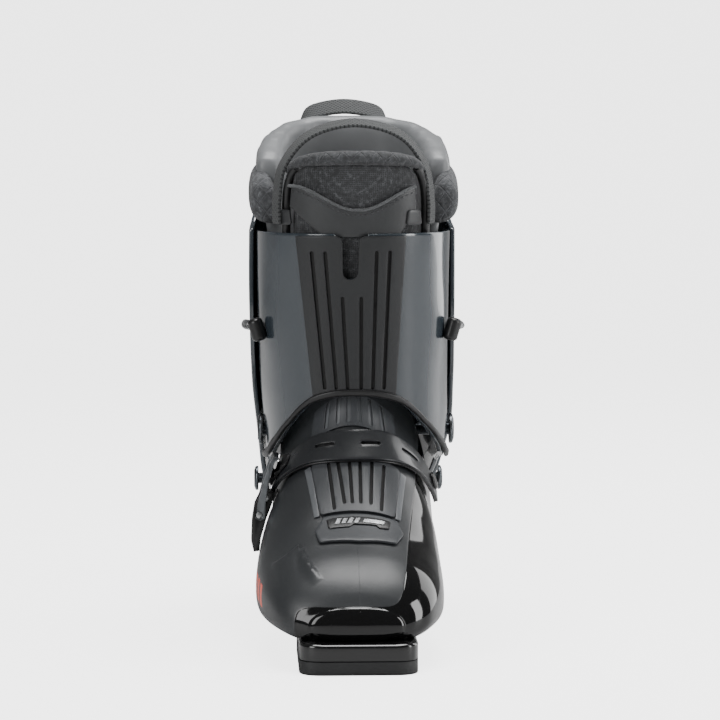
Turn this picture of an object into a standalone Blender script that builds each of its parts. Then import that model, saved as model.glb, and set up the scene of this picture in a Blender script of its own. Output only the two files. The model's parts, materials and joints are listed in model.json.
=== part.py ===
"""Rear-entry alpine ski boot, right foot: shell, two-part cuff, liner, buckles, sole pads.

Metres, +Z up, toe towards -Y, inner side of the foot towards +X.
The origin is on the ground, in the middle of the boot's outline.
"""

import math

import bmesh
import bpy
from mathutils import Matrix, Vector

MM = 0.001

# Overall sizes
SOLE_LENGTH = 310 * MM
FOREFOOT_WIDTH = 112.5 * MM
SHAFT_HEIGHT = 248 * MM
CENTRE_SHIFT = Vector((-4 * MM, 0, 0))

# Places along and across are drawn for a sole of 310 and a forefoot of 112.5, and follow both.
ALONG = SOLE_LENGTH / 310
ACROSS = FOREFOOT_WIDTH / 112.5

# Walls and clearances
SHELL_WALL = 4.5 * MM
CUFF_WALL = 3.6 * MM
LINER_WALL = 6 * MM
TOUCH = 0.3 * MM
CUFF_CLEARANCE = 1.5 * MM
LINER_CLEARANCE = 1.0 * MM
PATCH_GAP = 0.5 * MM
PIN_CLEARANCE = 0.1 * MM
RIVET_CLEARANCE = 0.3 * MM

# Sole
LUG_WIDTH = 69 * MM
TOE_LUG_LENGTH = 95 * MM
TOE_LUG_TOP = 19 * MM
HEEL_LUG_LENGTH = 78 * MM
HEEL_LUG_TOP = 30 * MM
PAD_THICKNESS = 7.7 * MM
SCREW_HEAD_RADIUS = 4 * MM
SCREW_HEAD_HEIGHT = 2.5 * MM
SCREW_SHANK_RADIUS = 1.8 * MM
SCREW_TIP = 14 * MM
SCREW_SPACING = 36 * MM

# Joints
ANKLE = Vector((0, 40 * ALONG, 120 * MM))
ANKLE_RIVET_HEAD = 9.5 * MM
ANKLE_RIVET_SHANK = 4 * MM
REAR_HINGE = Vector((0, 107 * ALONG, 80 * MM))
REAR_RIVET_HEAD = 8 * MM
REAR_RIVET_SHANK = 3.5 * MM
RIVET_HEAD_THICKNESS = 2.4 * MM
ANKLE_RIVET_PROUD = 1.7 * MM
REAR_RIVET_PROUD = 3.8 * MM

# Instep buckle, on the outer side of the foot. Its points are measured from the shell's side.
BUCKLE_Y = -26 * ALONG
BUCKLE_Z = 86 * MM
BUCKLE_PIVOT_OUT = Vector((-6.6 * MM, 0, 0.2 * MM))
BAIL_PIVOT_OUT = Vector((-10.4 * MM, 0, -9.7 * MM))
KNUCKLE_WIDTH = 10 * MM
CHEEK = 3 * MM
CHEEK_GAP = 0.5 * MM
BUCKLE_PIN_RADIUS = 2 * MM

# Closing lever, on the spine of the rear cuff
SPINE_LEVER_FOOT = 158 * MM
SPINE_LEVER_LENGTH = 58 * MM
SPINE_LEVER_WIDTH = 22 * MM
SPINE_EAR = 3 * MM
SPINE_PIN_RADIUS = 2.2 * MM
CABLE_RADIUS = 1.6 * MM
CABLE_STAND_OFF = 2.2 * MM
ANCHOR_RADIUS = 4.6 * MM
ANCHOR_LENGTH = 14 * MM

AROUND = 28
CUFF_AROUND = 40
HALF = FOREFOOT_WIDTH / 2

# Shell sections from the toe cap to the collar. Each is a ring between a top and a base point:
# top place along the sole, top height, base place, base height, outer and inner half width,
# height share of the widest level, roundness above and below it.
SHELL_SECTIONS = [
    (0.042, 38, 0.040, 24, 0.44, 0.40, 0.45, 2.2, 2.3),
    (0.058, 46, 0.052, 20, 0.64, 0.58, 0.44, 2.2, 2.4),
    (0.085, 54, 0.075, 17.5, 0.80, 0.745, 0.42, 2.2, 2.6),
    (0.125, 62, 0.12, 15.5, 0.91, 0.85, 0.38, 2.2, 2.8),
    (0.177, 69.5, 0.18, 14, 0.985, 0.92, 0.34, 2.15, 3.0),
    (0.242, 81, 0.258, 13, 1.03, 0.955, 0.30, 2.1, 3.1),
    (0.306, 99, 0.34, 13, 1.04, 0.96, 0.28, 2.0, 3.2),
    (0.352, 116, 0.43, 12.5, 1.0, 0.95, 0.30, 2.0, 3.2),
    (0.385, 131, 0.53, 12, 0.92, 0.93, 0.33, 1.85, 3.2),
    (0.405, 145, 0.64, 12, 0.87, 0.93, 0.38, 1.7, 3.1),
    (0.418, 156, 0.75, 12, 0.83, 0.92, 0.44, 1.7, 3.0),
    (0.424, 164, 0.85, 13, 0.79, 0.88, 0.50, 1.75, 2.9),
    (0.428, 169, 0.925, 18, 0.75, 0.83, 0.50, 1.8, 2.7),
    (0.431, 173, 0.962, 40, 0.74, 0.80, 0.50, 1.85, 2.5),
    (0.433, 175, 0.965, 70, 0.74, 0.80, 0.50, 1.85, 2.4),
    (0.434, 177, 0.95, 98, 0.735, 0.79, 0.50, 1.85, 2.4),
]
COLLAR = len(SHELL_SECTIONS) - 1

# Cuff levels: height, front and rear place along the sole, outer and inner half width, roundness.
CUFF_LEVELS = [
    (60, 0.42, 0.973, 0.84, 0.84, 4.0),
    (78, 0.42, 0.971, 0.87, 0.92, 3.8),
    (95, 0.400, 0.966, 0.915, 1.01, 3.3),
    (120, 0.392, 0.950, 0.95, 1.087, 2.7),
    (150, 0.378, 0.920, 1.00, 1.09, 2.5),
    (200, 0.352, 0.868, 1.03, 1.085, 2.45),
    (250, 0.320, 0.826, 1.035, 1.09, 2.45),
    (325, 0.285, 0.785, 1.035, 1.09, 2.45),
]
CUFF_MIDDLE = 1.5 * MM


# ---------------------------------------------------------------- curves and surfaces


def smooth(table, place):
    """Row of the table at a place in its first column, on a smooth curve through the rows."""
    last = len(table) - 1
    i = 0
    while i < last - 1 and place > table[i + 1][0]:
        i += 1
    low, high = table[i], table[i + 1]
    span = high[0] - low[0]
    t = min(1.0, max(0.0, (place - low[0]) / span))
    before = table[max(0, i - 1)]
    after = table[min(last, i + 2)]
    row = []
    for column in range(1, len(low)):
        slope_low = (high[column] - before[column]) / (high[0] - before[0])
        slope_high = (after[column] - low[column]) / (after[0] - low[0])
        row.append(
            low[column] * (2 * t**3 - 3 * t**2 + 1)
            + slope_low * span * (t**3 - 2 * t**2 + t)
            + high[column] * (3 * t**2 - 2 * t**3)
            + slope_high * span * (t**3 - t**2)
        )
    return row


SECTION_TABLE = [(i, *row) for i, row in enumerate(SHELL_SECTIONS)]


def power(value, exponent):
    return math.copysign(abs(value) ** exponent, value)


def shell_section(u):
    """Top, widest and base points, half widths and roundness of the shell's section u."""
    top_at, top_z, base_at, base_z, outer, inner, level, round_top, round_base = smooth(
        SECTION_TABLE, u
    )
    top = Vector((0, SOLE_LENGTH * (top_at - 0.5), top_z * MM))
    base = Vector((0, SOLE_LENGTH * (base_at - 0.5), base_z * MM))
    middle = base.lerp(top, level)
    return top, middle, base, outer * HALF, inner * HALF, round_top, round_base


def shell_ring(u, top_in=0.0, base_in=0.0, side_in=0.0, lift=0.0, floor=None):
    """Points of the shell's section u, moved in by a wall and lifted square to the section."""
    top, middle, base, outer, inner, round_top, round_base = shell_section(u)
    run = (top - base).normalized()
    square = Vector((0, -run.z, run.y))
    if square.z < 0:
        square = -square
    top = top - run * top_in
    base = base + run * base_in
    if floor is not None and base.z < floor:
        base = base + run * ((floor - base.z) / run.z)
    ring = []
    for i in range(AROUND):
        angle = 2 * math.pi * i / AROUND
        across, along = math.sin(angle), math.cos(angle)
        roundness = round_top if along >= 0 else round_base
        width = (inner if across >= 0 else outer) - side_in
        end = top if along >= 0 else base
        point = middle.lerp(end, abs(power(along, 2 / roundness)))
        point.x = width * power(across, 2 / roundness)
        ring.append(point + square * lift)
    return ring


def shell_point(u, angle, offset=0.0):
    """A point of the shell's outside, at an angle from the top of section u, moved out."""

    def surface(u_, angle_):
        top, middle, base, outer, inner, round_top, round_base = shell_section(u_)
        across, along = math.sin(angle_), math.cos(angle_)
        roundness = round_top if along >= 0 else round_base
        point = middle.lerp(top if along >= 0 else base, abs(power(along, 2 / roundness)))
        point.x = (inner if across >= 0 else outer) * power(across, 2 / roundness)
        return point

    point = surface(u, angle)
    if offset == 0.0:
        return point
    step_u = 0.05
    step_angle = 0.03
    along = surface(min(COLLAR, u + step_u), angle) - surface(max(0, u - step_u), angle)
    around = surface(u, angle + step_angle) - surface(u, angle - step_angle)
    normal = along.cross(around).normalized()
    outwards = point - shell_section(u)[1]
    if normal.dot(outwards) < 0:
        normal = -normal
    return point + normal * offset


def shell_angle(u, x):
    """Angle at which the upper half of section u is x to the side."""
    outer, inner, round_top = (shell_section(u)[i] for i in (3, 4, 5))
    width = inner if x >= 0 else outer
    share = min(0.999, abs(x) / width)
    return math.copysign(math.asin(share ** (round_top / 2)), x)


def shell_beside(y, z, side, offset=0.0):
    """The point of the shell's side at (y, z); side is -1 outside, +1 inside the foot."""
    low, high = 0.0, float(COLLAR)

    def ahead(u):
        top, _, base = shell_section(u)[:3]
        return (base.y - top.y) * (z - top.z) - (base.z - top.z) * (y - top.y)

    sign = ahead(low)
    for _ in range(40):
        mid = (low + high) / 2
        if ahead(mid) * sign > 0:
            low = mid
        else:
            high = mid
    top, middle, base, _, _, round_top, round_base = shell_section(low)
    here = Vector((0, y, z))
    if (here - middle).dot(top - middle) >= 0:
        share = min(1.0, (here - middle).length / (top - middle).length)
        angle = math.acos(share ** (round_top / 2))
    else:
        share = min(1.0, (here - middle).length / (base - middle).length)
        angle = math.pi - math.acos(share ** (round_base / 2))
    return shell_point(low, side * angle, offset)


CUFF_TABLE = [(row[0] * MM, *row[1:]) for row in CUFF_LEVELS]


def cuff_level(z):
    """Middle along, half length, outer and inner half width and roundness at height z."""
    front, rear, outer, inner, roundness = smooth(CUFF_TABLE, z)
    front_y = SOLE_LENGTH * (front - 0.5)
    rear_y = SOLE_LENGTH * (rear - 0.5)
    return (front_y + rear_y) / 2, (rear_y - front_y) / 2, outer * HALF, inner * HALF, roundness


def cuff_point(z, angle, offset=0.0):
    """A point on the cuff's outside: angle 0 is the front, positive towards +X."""
    middle_y, length, outer, inner, roundness = cuff_level(z)
    across, along = math.sin(angle), math.cos(angle)
    width = (inner if across >= 0 else outer) + offset
    x = CUFF_MIDDLE + width * power(across, 2 / roundness)
    return Vector((x, middle_y - (length + offset) * power(along, 2 / roundness), z))


def cuff_angle_at_x(z, x, offset=0.0):
    """Angle from the front, or from the back, at which the cuff is x to the side."""
    _, _, outer, inner, roundness = cuff_level(z)
    width = (inner if x >= CUFF_MIDDLE else outer) + offset
    share = min(0.999, abs(x - CUFF_MIDDLE) / width)
    return math.copysign(math.asin(share ** (roundness / 2)), x - CUFF_MIDDLE)


def cuff_angle_at_y(z, y, side, offset=0.0):
    """Angle at which one side of the cuff is at y."""
    middle_y, length, _, _, roundness = cuff_level(z)
    share = max(-0.999, min(0.999, (middle_y - y) / (length + offset)))
    return side * math.acos(power(share, roundness / 2))


# ---------------------------------------------------------------- making objects


def clear_scene():
    for obj in list(bpy.data.objects):
        bpy.data.objects.remove(obj, do_unlink=True)


def material(name, colour, roughness, metallic=0.0):
    found = bpy.data.materials.get(name)
    if found:
        return found
    made = bpy.data.materials.new(name)
    made.use_nodes = True
    shader = made.node_tree.nodes["Principled BSDF"]
    shader.inputs["Base Color"].default_value = (*colour, 1)
    shader.inputs["Roughness"].default_value = roughness
    shader.inputs["Metallic"].default_value = metallic
    return made


FINISHES = {
    "shell": ((0.045, 0.047, 0.05), 0.45, 0.0),
    "cuff": ((0.12, 0.145, 0.165), 0.25, 0.0),
    "rubber": ((0.02, 0.02, 0.021), 0.7, 0.0),
    "panel": ((0.05, 0.05, 0.053), 0.6, 0.0),
    "metal": ((0.45, 0.45, 0.46), 0.3, 1.0),
    "black_part": ((0.015, 0.015, 0.016), 0.35, 0.0),
    "strap": ((0.07, 0.073, 0.078), 0.5, 0.0),
    "liner": ((0.06, 0.06, 0.064), 0.85, 0.0),
    "webbing": ((0.04, 0.04, 0.043), 0.9, 0.0),
}


def mesh_object(name, points, faces, finish, origin=None):
    """An object from points and faces, with its origin at a joint where it has one."""
    at = (origin or Vector((0, 0, 0))) + CENTRE_SHIFT
    mesh = bpy.data.meshes.new(name)
    moved = [Vector(point) + CENTRE_SHIFT - at for point in points]
    mesh.from_pydata([tuple(point) for point in moved], [], faces)
    mesh.materials.append(material(finish, *FINISHES[finish]))
    editable = bmesh.new()
    editable.from_mesh(mesh)
    bmesh.ops.recalc_face_normals(editable, faces=editable.faces)
    editable.to_mesh(mesh)
    editable.free()
    mesh.shade_smooth()
    mesh.set_sharp_from_angle(angle=math.radians(35))
    obj = bpy.data.objects.new(name, mesh)
    obj.location = at
    bpy.context.scene.collection.objects.link(obj)
    return obj


def loft(name, rings, finish, origin=None):
    """A closed solid through rings of equal count, with flat ends."""
    count = len(rings[0])
    points = [point for ring in rings for point in ring]
    faces = []
    for r in range(len(rings) - 1):
        for i in range(count):
            j = (i + 1) % count
            faces.append(
                (r * count + i, r * count + j, (r + 1) * count + j, (r + 1) * count + i)
            )
    faces.append(tuple(range(count)))
    faces.append(tuple((len(rings) - 1) * count + i for i in range(count)))
    return mesh_object(name, points, faces, finish, origin)


def slab(name, outside, inside, finish, origin=None):
    """A closed solid between two grids of points of the same size."""
    rows, columns = len(outside), len(outside[0])
    points = [p for row in outside for p in row] + [p for row in inside for p in row]
    shift = rows * columns

    def number(r, c):
        return r * columns + c

    faces = []
    for r in range(rows - 1):
        for c in range(columns - 1):
            quad = (number(r, c), number(r, c + 1), number(r + 1, c + 1), number(r + 1, c))
            faces.append(quad)
            faces.append(tuple(shift + v for v in reversed(quad)))
    rim = [(r, 0) for r in range(rows)]
    rim += [(rows - 1, c) for c in range(1, columns)]
    rim += [(r, columns - 1) for r in range(rows - 2, -1, -1)]
    rim += [(0, c) for c in range(columns - 2, 0, -1)]
    for i, here in enumerate(rim):
        there = rim[(i + 1) % len(rim)]
        a, b = number(*here), number(*there)
        faces.append((a, b, shift + b, shift + a))
    return mesh_object(name, points, faces, finish, origin)


def prism(name, outline, along, low, high, finish, origin=None):
    """An outline pushed along X, Y or Z. The outline is in the other two axes, in X, Y, Z order."""
    place = {
        "X": lambda a, b, h: Vector((h, a, b)),
        "Y": lambda a, b, h: Vector((a, h, b)),
        "Z": lambda a, b, h: Vector((a, b, h)),
    }[along]
    rings = [[place(a, b, h) for a, b in outline] for h in (low, high)]
    return loft(name, rings, finish, origin)


def rod(name, start, end, radius, finish, origin=None, sides=12):
    """A round bar between two points."""
    start, end = Vector(start), Vector(end)
    turn = (end - start).to_track_quat("Z", "Y").to_matrix()
    rings = []
    for middle in (start, end):
        ring = []
        for i in range(sides):
            angle = 2 * math.pi * i / sides
            ring.append(
                middle + turn @ Vector((radius * math.cos(angle), radius * math.sin(angle), 0))
            )
        rings.append(ring)
    return loft(name, rings, finish, origin)


def turned(name, start, direction, profile, finish, origin=None, sides=16):
    """A round part: profile is (distance along, radius) from the start point."""
    turn = Vector(direction).to_track_quat("Z", "Y").to_matrix()
    rings = []
    for distance, radius in profile:
        ring = []
        for i in range(sides):
            angle = 2 * math.pi * i / sides
            local = Vector((radius * math.cos(angle), radius * math.sin(angle), distance))
            ring.append(Vector(start) + turn @ local)
        rings.append(ring)
    return loft(name, rings, finish, origin)


def rounded_outline(x_low, x_high, y_low, y_high, front_radius, rear_radius, steps=6):
    """A rectangle with round corners, as (x, y) points."""
    corners = [
        (x_low + front_radius, y_low + front_radius, front_radius, 180),
        (x_high - front_radius, y_low + front_radius, front_radius, 270),
        (x_high - rear_radius, y_high - rear_radius, rear_radius, 0),
        (x_low + rear_radius, y_high - rear_radius, rear_radius, 90),
    ]
    outline = []
    for x, y, radius, start in corners:
        for i in range(steps + 1):
            angle = math.radians(start + 90 * i / steps)
            outline.append((x + radius * math.cos(angle), y + radius * math.sin(angle)))
    return outline


def sweep_band(name, route, wide, width, thickness, finish, origin=None):
    """A flat band along a route, as wide as `width` in the direction `wide`."""
    rings = []
    for i, point in enumerate(route):
        ahead = route[min(len(route) - 1, i + 1)]
        behind = route[max(0, i - 1)]
        tangent = (ahead - behind).normalized()
        across = (wide - tangent * wide.dot(tangent)).normalized()
        normal = tangent.cross(across)
        ring = []
        for a, b in ((-1, -1), (1, -1), (1, 1), (-1, 1)):
            ring.append(point + across * (a * width / 2) + normal * (b * thickness / 2))
        rings.append(ring)
    return loft(name, rings, finish, origin)


def smooth_route(points, steps):
    """A smooth curve through hand-chosen points, with `steps` points for each stretch."""
    table = [(i, *point) for i, point in enumerate(points)]
    route = []
    for i in range((len(points) - 1) * steps + 1):
        route.append(Vector(smooth(table, i / steps)))
    return route


def helper(obj):
    """Marks an object as a cutter, which is not a part of the boot."""
    obj.hide_render = True
    obj.display_type = "WIRE"
    return obj


def boolean(obj, other, operation):
    step = obj.modifiers.new(operation.lower() + "_" + other.name, "BOOLEAN")
    step.operation = operation
    step.object = helper(other)
    step.solver = "EXACT"
    return obj


def cut(obj, other):
    return boolean(obj, other, "DIFFERENCE")


def join(obj, other):
    return boolean(obj, other, "UNION")


def keep_inside(obj, other):
    return boolean(obj, other, "INTERSECT")


def bore(obj, name, start, end, radius):
    """A round hole through an object."""
    return cut(obj, rod(name, start, end, radius, "metal", sides=24))


# ---------------------------------------------------------------- sole and lower shell

INSIDE_TOP = SHELL_WALL
INSIDE_BASE = SHELL_WALL + 1.5 * MM
CAVITY_START = 1.15
BOARD_TOP = 27 * MM


def sole_end(name, toe):
    """Outline of the toe or the heel end of the sole."""
    if toe:
        low = -SOLE_LENGTH / 2
        return rounded_outline(-LUG_WIDTH / 2, LUG_WIDTH / 2, low, low + TOE_LUG_LENGTH, 20 * MM, 3 * MM)
    high = SOLE_LENGTH / 2
    return rounded_outline(
        -LUG_WIDTH / 2, LUG_WIDTH / 2, high - HEEL_LUG_LENGTH, high, 3 * MM, LUG_WIDTH / 2 - 1 * MM
    )


def screw_places(toe):
    end = -SOLE_LENGTH / 2 if toe else SOLE_LENGTH / 2
    inwards = 1 if toe else -1
    places = []
    for distance in (32 * MM, 66 * MM):
        for side in (-1, 1):
            places.append(Vector((side * SCREW_SPACING / 2, end + inwards * distance, 0)))
    return places


def ankle_holes(obj, name, middle, radius):
    """One hole through both sides, for a rivet on each."""
    return bore(obj, name, middle - Vector((0.09, 0, 0)), middle + Vector((0.09, 0, 0)), radius)


def make_lower_shell():
    outside = [shell_ring(u / 2) for u in range(2 * COLLAR + 1)]
    shell = loft("lower_shell", outside, "shell")
    seat = PAD_THICKNESS + TOUCH
    join(shell, prism("toe_lug", sole_end("toe", True), "Z", seat, TOE_LUG_TOP, "shell"))
    join(shell, prism("heel_lug", sole_end("heel", False), "Z", seat, HEEL_LUG_TOP, "shell"))
    stations = [CAVITY_START, *range(2, COLLAR + 1)]
    inside = [shell_ring(u, INSIDE_TOP, INSIDE_BASE, SHELL_WALL) for u in stations]
    inside.append(shell_ring(COLLAR, INSIDE_TOP, INSIDE_BASE, SHELL_WALL, lift=30 * MM))
    cut(shell, loft("foot_cavity", inside, "shell"))
    ankle_holes(shell, "shell_ankle_hole", ANKLE, ANKLE_RIVET_SHANK + RIVET_CLEARANCE)
    for i, place in enumerate(screw_places(True) + screw_places(False)):
        bore(
            shell,
            f"shell_screw_hole_{i}",
            place + Vector((0, 0, 0.004)),
            place + Vector((0, 0, SCREW_TIP + TOUCH)),
            SCREW_SHANK_RADIUS + TOUCH,
        )
    return shell


def make_sole_pads():
    number = 0
    for end, toe in (("toe", True), ("heel", False)):
        pad = prism(f"{end}_sole_pad", sole_end(end, toe), "Z", 0, PAD_THICKNESS, "rubber")
        for i, place in enumerate(screw_places(toe)):
            head_low = Vector((0, 0, 1.5 * MM))
            head_high = head_low + Vector((0, 0, SCREW_HEAD_HEIGHT))
            bore(
                pad,
                f"{end}_head_hole_{i}",
                place - Vector((0, 0, 0.002)),
                place + head_high + Vector((0, 0, TOUCH)),
                SCREW_HEAD_RADIUS + TOUCH,
            )
            bore(
                pad,
                f"{end}_shank_hole_{i}",
                place,
                place + Vector((0, 0, 0.012)),
                SCREW_SHANK_RADIUS + TOUCH,
            )
            number += 1
            length = SCREW_TIP - head_low.z
            turned(
                f"sole_screw_{number}",
                place + head_low,
                (0, 0, 1),
                [
                    (0, SCREW_HEAD_RADIUS),
                    (SCREW_HEAD_HEIGHT, SCREW_HEAD_RADIUS),
                    (SCREW_HEAD_HEIGHT, SCREW_SHANK_RADIUS),
                    (length, SCREW_SHANK_RADIUS),
                ],
                "metal",
                sides=10,
            )


def cavity_beside(u, z, side):
    """Point of the foot cavity's section u at height z, on one side."""
    ring = shell_ring(u, INSIDE_TOP, INSIDE_BASE, SHELL_WALL)
    half = ring[AROUND // 2 :] if side < 0 else ring[AROUND // 2 :: -1]
    for low, high in zip(half, half[1:]):
        if low.z <= z <= high.z:
            return low.lerp(high, (z - low.z) / (high.z - low.z))
    return half[0]


def make_boot_board():
    """Flat board on the shell's floor, under the liner."""
    floor_gap = 3.2 * MM
    edge_gap = 2.0 * MM
    rings = []
    for i in range(12):
        u = 3.0 + i * 0.7
        base = shell_ring(u, INSIDE_TOP, INSIDE_BASE, SHELL_WALL)[AROUND // 2]
        low = base.z + floor_gap
        left, right = (cavity_beside(u, low, side) for side in (-1, 1))
        x_left, x_right = left.x + edge_gap, right.x - edge_gap
        rings.append(
            [
                Vector((x_left, left.y, low)),
                Vector((x_right, left.y, low)),
                Vector((x_right, left.y, BOARD_TOP)),
                Vector((x_left, left.y, BOARD_TOP)),
            ]
        )
    return loft("boot_board", rings, "panel")


def make_liner_foot():
    """The inner boot's foot part, in the shell and a little above its collar."""
    gap = LINER_CLEARANCE
    sole = BOARD_TOP + TOUCH

    def rings(start, more, rise, floor):
        stations = [start, *range(math.ceil(start), COLLAR + 1)]
        made = []
        for u in stations:
            made.append(
                shell_ring(u, INSIDE_TOP + more, INSIDE_BASE + more, SHELL_WALL + more, 0.0, floor)
            )
        made.append(
            shell_ring(COLLAR, INSIDE_TOP + more, INSIDE_BASE + more, SHELL_WALL + more, rise, floor)
        )
        return made

    liner = loft("liner_foot", rings(1.8, gap, 6 * MM, sole), "liner")
    inside = rings(2.6, gap + LINER_WALL, 40 * MM, sole + LINER_WALL)
    cut(liner, loft("liner_foot_cavity", inside, "liner"))
    return liner


def instep_patch(name, u_low, u_high, rows, columns, half_low, half_high, low, high, finish, middle=0.0):
    """A piece lying on the instep, from section u_low to u_high, with its own half widths."""
    grids = []
    for offset in (high, low):
        grid = []
        for r in range(rows + 1):
            share = r / rows
            u = u_low + (u_high - u_low) * share
            half = half_low + (half_high - half_low) * share
            row = []
            for c in range(columns + 1):
                x = middle + half * (2 * c / columns - 1)
                row.append(shell_point(u, shell_angle(u, x), offset))
            grid.append(row)
        grids.append(grid)
    return slab(name, grids[0], grids[1], finish)


def make_instep_pieces():
    instep_patch(
        "instep_panel", 5.45, 6.85, 6, 6, 25 * MM, 30 * MM, PATCH_GAP, 1.7 * MM, "panel", 2 * MM
    )
    instep_patch(
        "badge_plate", 4.3, 5.35, 4, 6, 22 * MM, 26 * MM, PATCH_GAP, 2.4 * MM, "black_part", 2 * MM
    )
    instep_patch(
        "badge_inset", 4.75, 5.15, 2, 6, 18 * MM, 19 * MM, 2.9 * MM, 3.7 * MM, "metal", 2 * MM
    )


# ---------------------------------------------------------------- cuffs


def cuff_tube(name, low, high, levels, outer, inner, finish, origin):
    """A hollow sleeve on the cuff's surface, with open ends."""
    heights = [low + (high - low) * i / levels for i in range(levels + 1)]
    around = CUFF_AROUND
    angles = [2 * math.pi * i / around for i in range(around)]
    rings = [[cuff_point(z, a, outer) for a in angles] for z in heights]
    rings += [[cuff_point(z, a, inner) for a in angles] for z in reversed(heights)]
    points = [point for ring in rings for point in ring]
    faces = []
    for r in range(len(rings)):
        s = (r + 1) % len(rings)
        for i in range(around):
            j = (i + 1) % around
            faces.append((r * around + i, r * around + j, s * around + j, s * around + i))
    return mesh_object(name, points, faces, finish, origin)


def side_profile(name, outline):
    """A block with this outline seen from the side, wider than the boot."""
    return prism(name, [(y * ALONG, z * MM) for y, z in outline], "X", -0.1, 0.1, "shell")


FRONT_CUFF_SIDE = [
    (-90, 151), (-38.0, 149.5), (-32, 144), (-21, 131), (-8, 119.5), (8, 109), (20, 105), (38, 104),
    (60, 98), (80, 81), (96, 69.5), (107, 67), (117, 70.5), (120.5, 80), (117, 89.5), (107, 93.5),
    (84, 112), (63, 140), (53, 175), (50, 243), (46, 246), (20, 246), (-45, 248), (-90, 249),
]  # fmt: skip
REAR_CUFF_SIDE = [
    (37, 200), (45, 160), (64, 126), (88, 100), (95, 84), (97, 73), (107, 69.5), (116, 73),
    (134, 92), (170, 101), (170, 304), (104, 303), (84, 292), (66, 262), (48, 250), (37, 246),
]  # fmt: skip
CUFF_LOW = 61 * MM
FRONT_CUFF_HIGH = SHAFT_HEIGHT + 4 * MM
REAR_CUFF_HIGH = SHAFT_HEIGHT + 64 * MM
SLIT_WIDTH = 8.3 * MM
SLIT_X = -1.2 * MM
SLIT_BOTTOM = 225 * MM
REAR_CUFF_IN = CUFF_CLEARANCE
REAR_CUFF_OUT = CUFF_CLEARANCE + CUFF_WALL


def slit(name):
    """Cutter for the slit in the middle of the cuff's top edge."""
    outline = []
    for i in range(9):
        angle = math.pi + math.pi * i / 8
        outline.append(
            (SLIT_X + SLIT_WIDTH / 2 * math.cos(angle), SLIT_BOTTOM + SLIT_WIDTH / 2 * math.sin(angle))
        )
    outline.append((SLIT_X + SLIT_WIDTH / 2 + 1 * MM, SHAFT_HEIGHT + 20 * MM))
    outline.append((SLIT_X - SLIT_WIDTH / 2 - 1 * MM, SHAFT_HEIGHT + 20 * MM))
    return prism(name, outline, "Y", -0.1, 0.0, "shell")


def make_front_cuff():
    cuff = cuff_tube("front_cuff", CUFF_LOW, FRONT_CUFF_HIGH, 8, 0.0, -CUFF_WALL, "cuff", ANKLE)
    keep_inside(cuff, side_profile("front_cuff_side", FRONT_CUFF_SIDE))
    cut(cuff, slit("front_cuff_slit"))
    ankle_holes(cuff, "cuff_ankle_hole", ANKLE, ANKLE_RIVET_SHANK + RIVET_CLEARANCE)
    ankle_holes(cuff, "front_rear_hinge_hole", REAR_HINGE, REAR_RIVET_SHANK + RIVET_CLEARANCE)
    return cuff


def make_rear_cuff():
    cuff = cuff_tube(
        "rear_cuff", CUFF_LOW, REAR_CUFF_HIGH, 9, REAR_CUFF_OUT, REAR_CUFF_IN, "cuff", REAR_HINGE
    )
    keep_inside(cuff, side_profile("rear_cuff_side", REAR_CUFF_SIDE))
    ankle_holes(cuff, "rear_hinge_hole", REAR_HINGE, REAR_RIVET_SHANK + RIVET_CLEARANCE)
    return cuff


def make_rivets():
    """Ankle rivets through cuff and shell, and hinge rivets through both cuffs."""
    for name, side in (("left", -1), ("right", 1)):
        for kind, place, head, shank, outer, inner, proud in (
            ("ankle_rivet", ANKLE, ANKLE_RIVET_HEAD, ANKLE_RIVET_SHANK, 0.0, None, ANKLE_RIVET_PROUD),
            (
                "hinge_rivet",
                REAR_HINGE,
                REAR_RIVET_HEAD,
                REAR_RIVET_SHANK,
                REAR_CUFF_OUT,
                -CUFF_WALL,
                REAR_RIVET_PROUD,
            ),
        ):
            angle = cuff_angle_at_y(place.z, place.y, side, outer)
            outside = abs(cuff_point(place.z, angle, outer).x) + proud
            if inner is None:
                inside = abs(shell_beside(place.y, place.z, side).x) - SHELL_WALL + 1.5 * MM
            else:
                inside = abs(cuff_point(place.z, angle, inner).x) + 0.5 * MM
            turned(
                f"{kind}_{name}",
                (side * (outside + RIVET_HEAD_THICKNESS), place.y, place.z),
                (-side, 0, 0),
                [
                    (0, head - 1 * MM),
                    (0.8 * MM, head),
                    (RIVET_HEAD_THICKNESS, head),
                    (RIVET_HEAD_THICKNESS, shank),
                    (RIVET_HEAD_THICKNESS + outside - inside, shank),
                ],
                "metal",
                place,
            )


def make_flex_panel():
    """Ribbed panel down the middle of the front cuff."""
    low, high, rows, columns = 157 * MM, 246 * MM, 6, 10
    grids = []
    for offset in (1.7 * MM, TOUCH):
        grid = []
        for r in range(rows + 1):
            share = r / rows
            z = low + (high - low) * share
            left = -23.5 * MM - 10 * MM * share
            right = 26.5 * MM + 5 * MM * share
            row = []
            for c in range(columns + 1):
                x = left + (right - left) * c / columns
                row.append(cuff_point(z, cuff_angle_at_x(z, x), offset))
            grid.append(row)
        grids.append(grid)
    panel = slab("flex_panel", grids[0], grids[1], "panel", ANKLE)
    return cut(panel, slit("flex_panel_slit"))


def arch_edge(angle):
    """Height of the front cuff's lower edge at an angle from the front."""
    z = 0.14
    for _ in range(30):
        y = cuff_point(z, angle).y / ALONG
        for (y0, z0), (y1, z1) in zip(FRONT_CUFF_SIDE[1:8], FRONT_CUFF_SIDE[2:9]):
            if y0 <= y <= y1:
                z = (z + (z0 + (z1 - z0) * (y - y0) / (y1 - y0)) * MM) / 2
    return z


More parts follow.
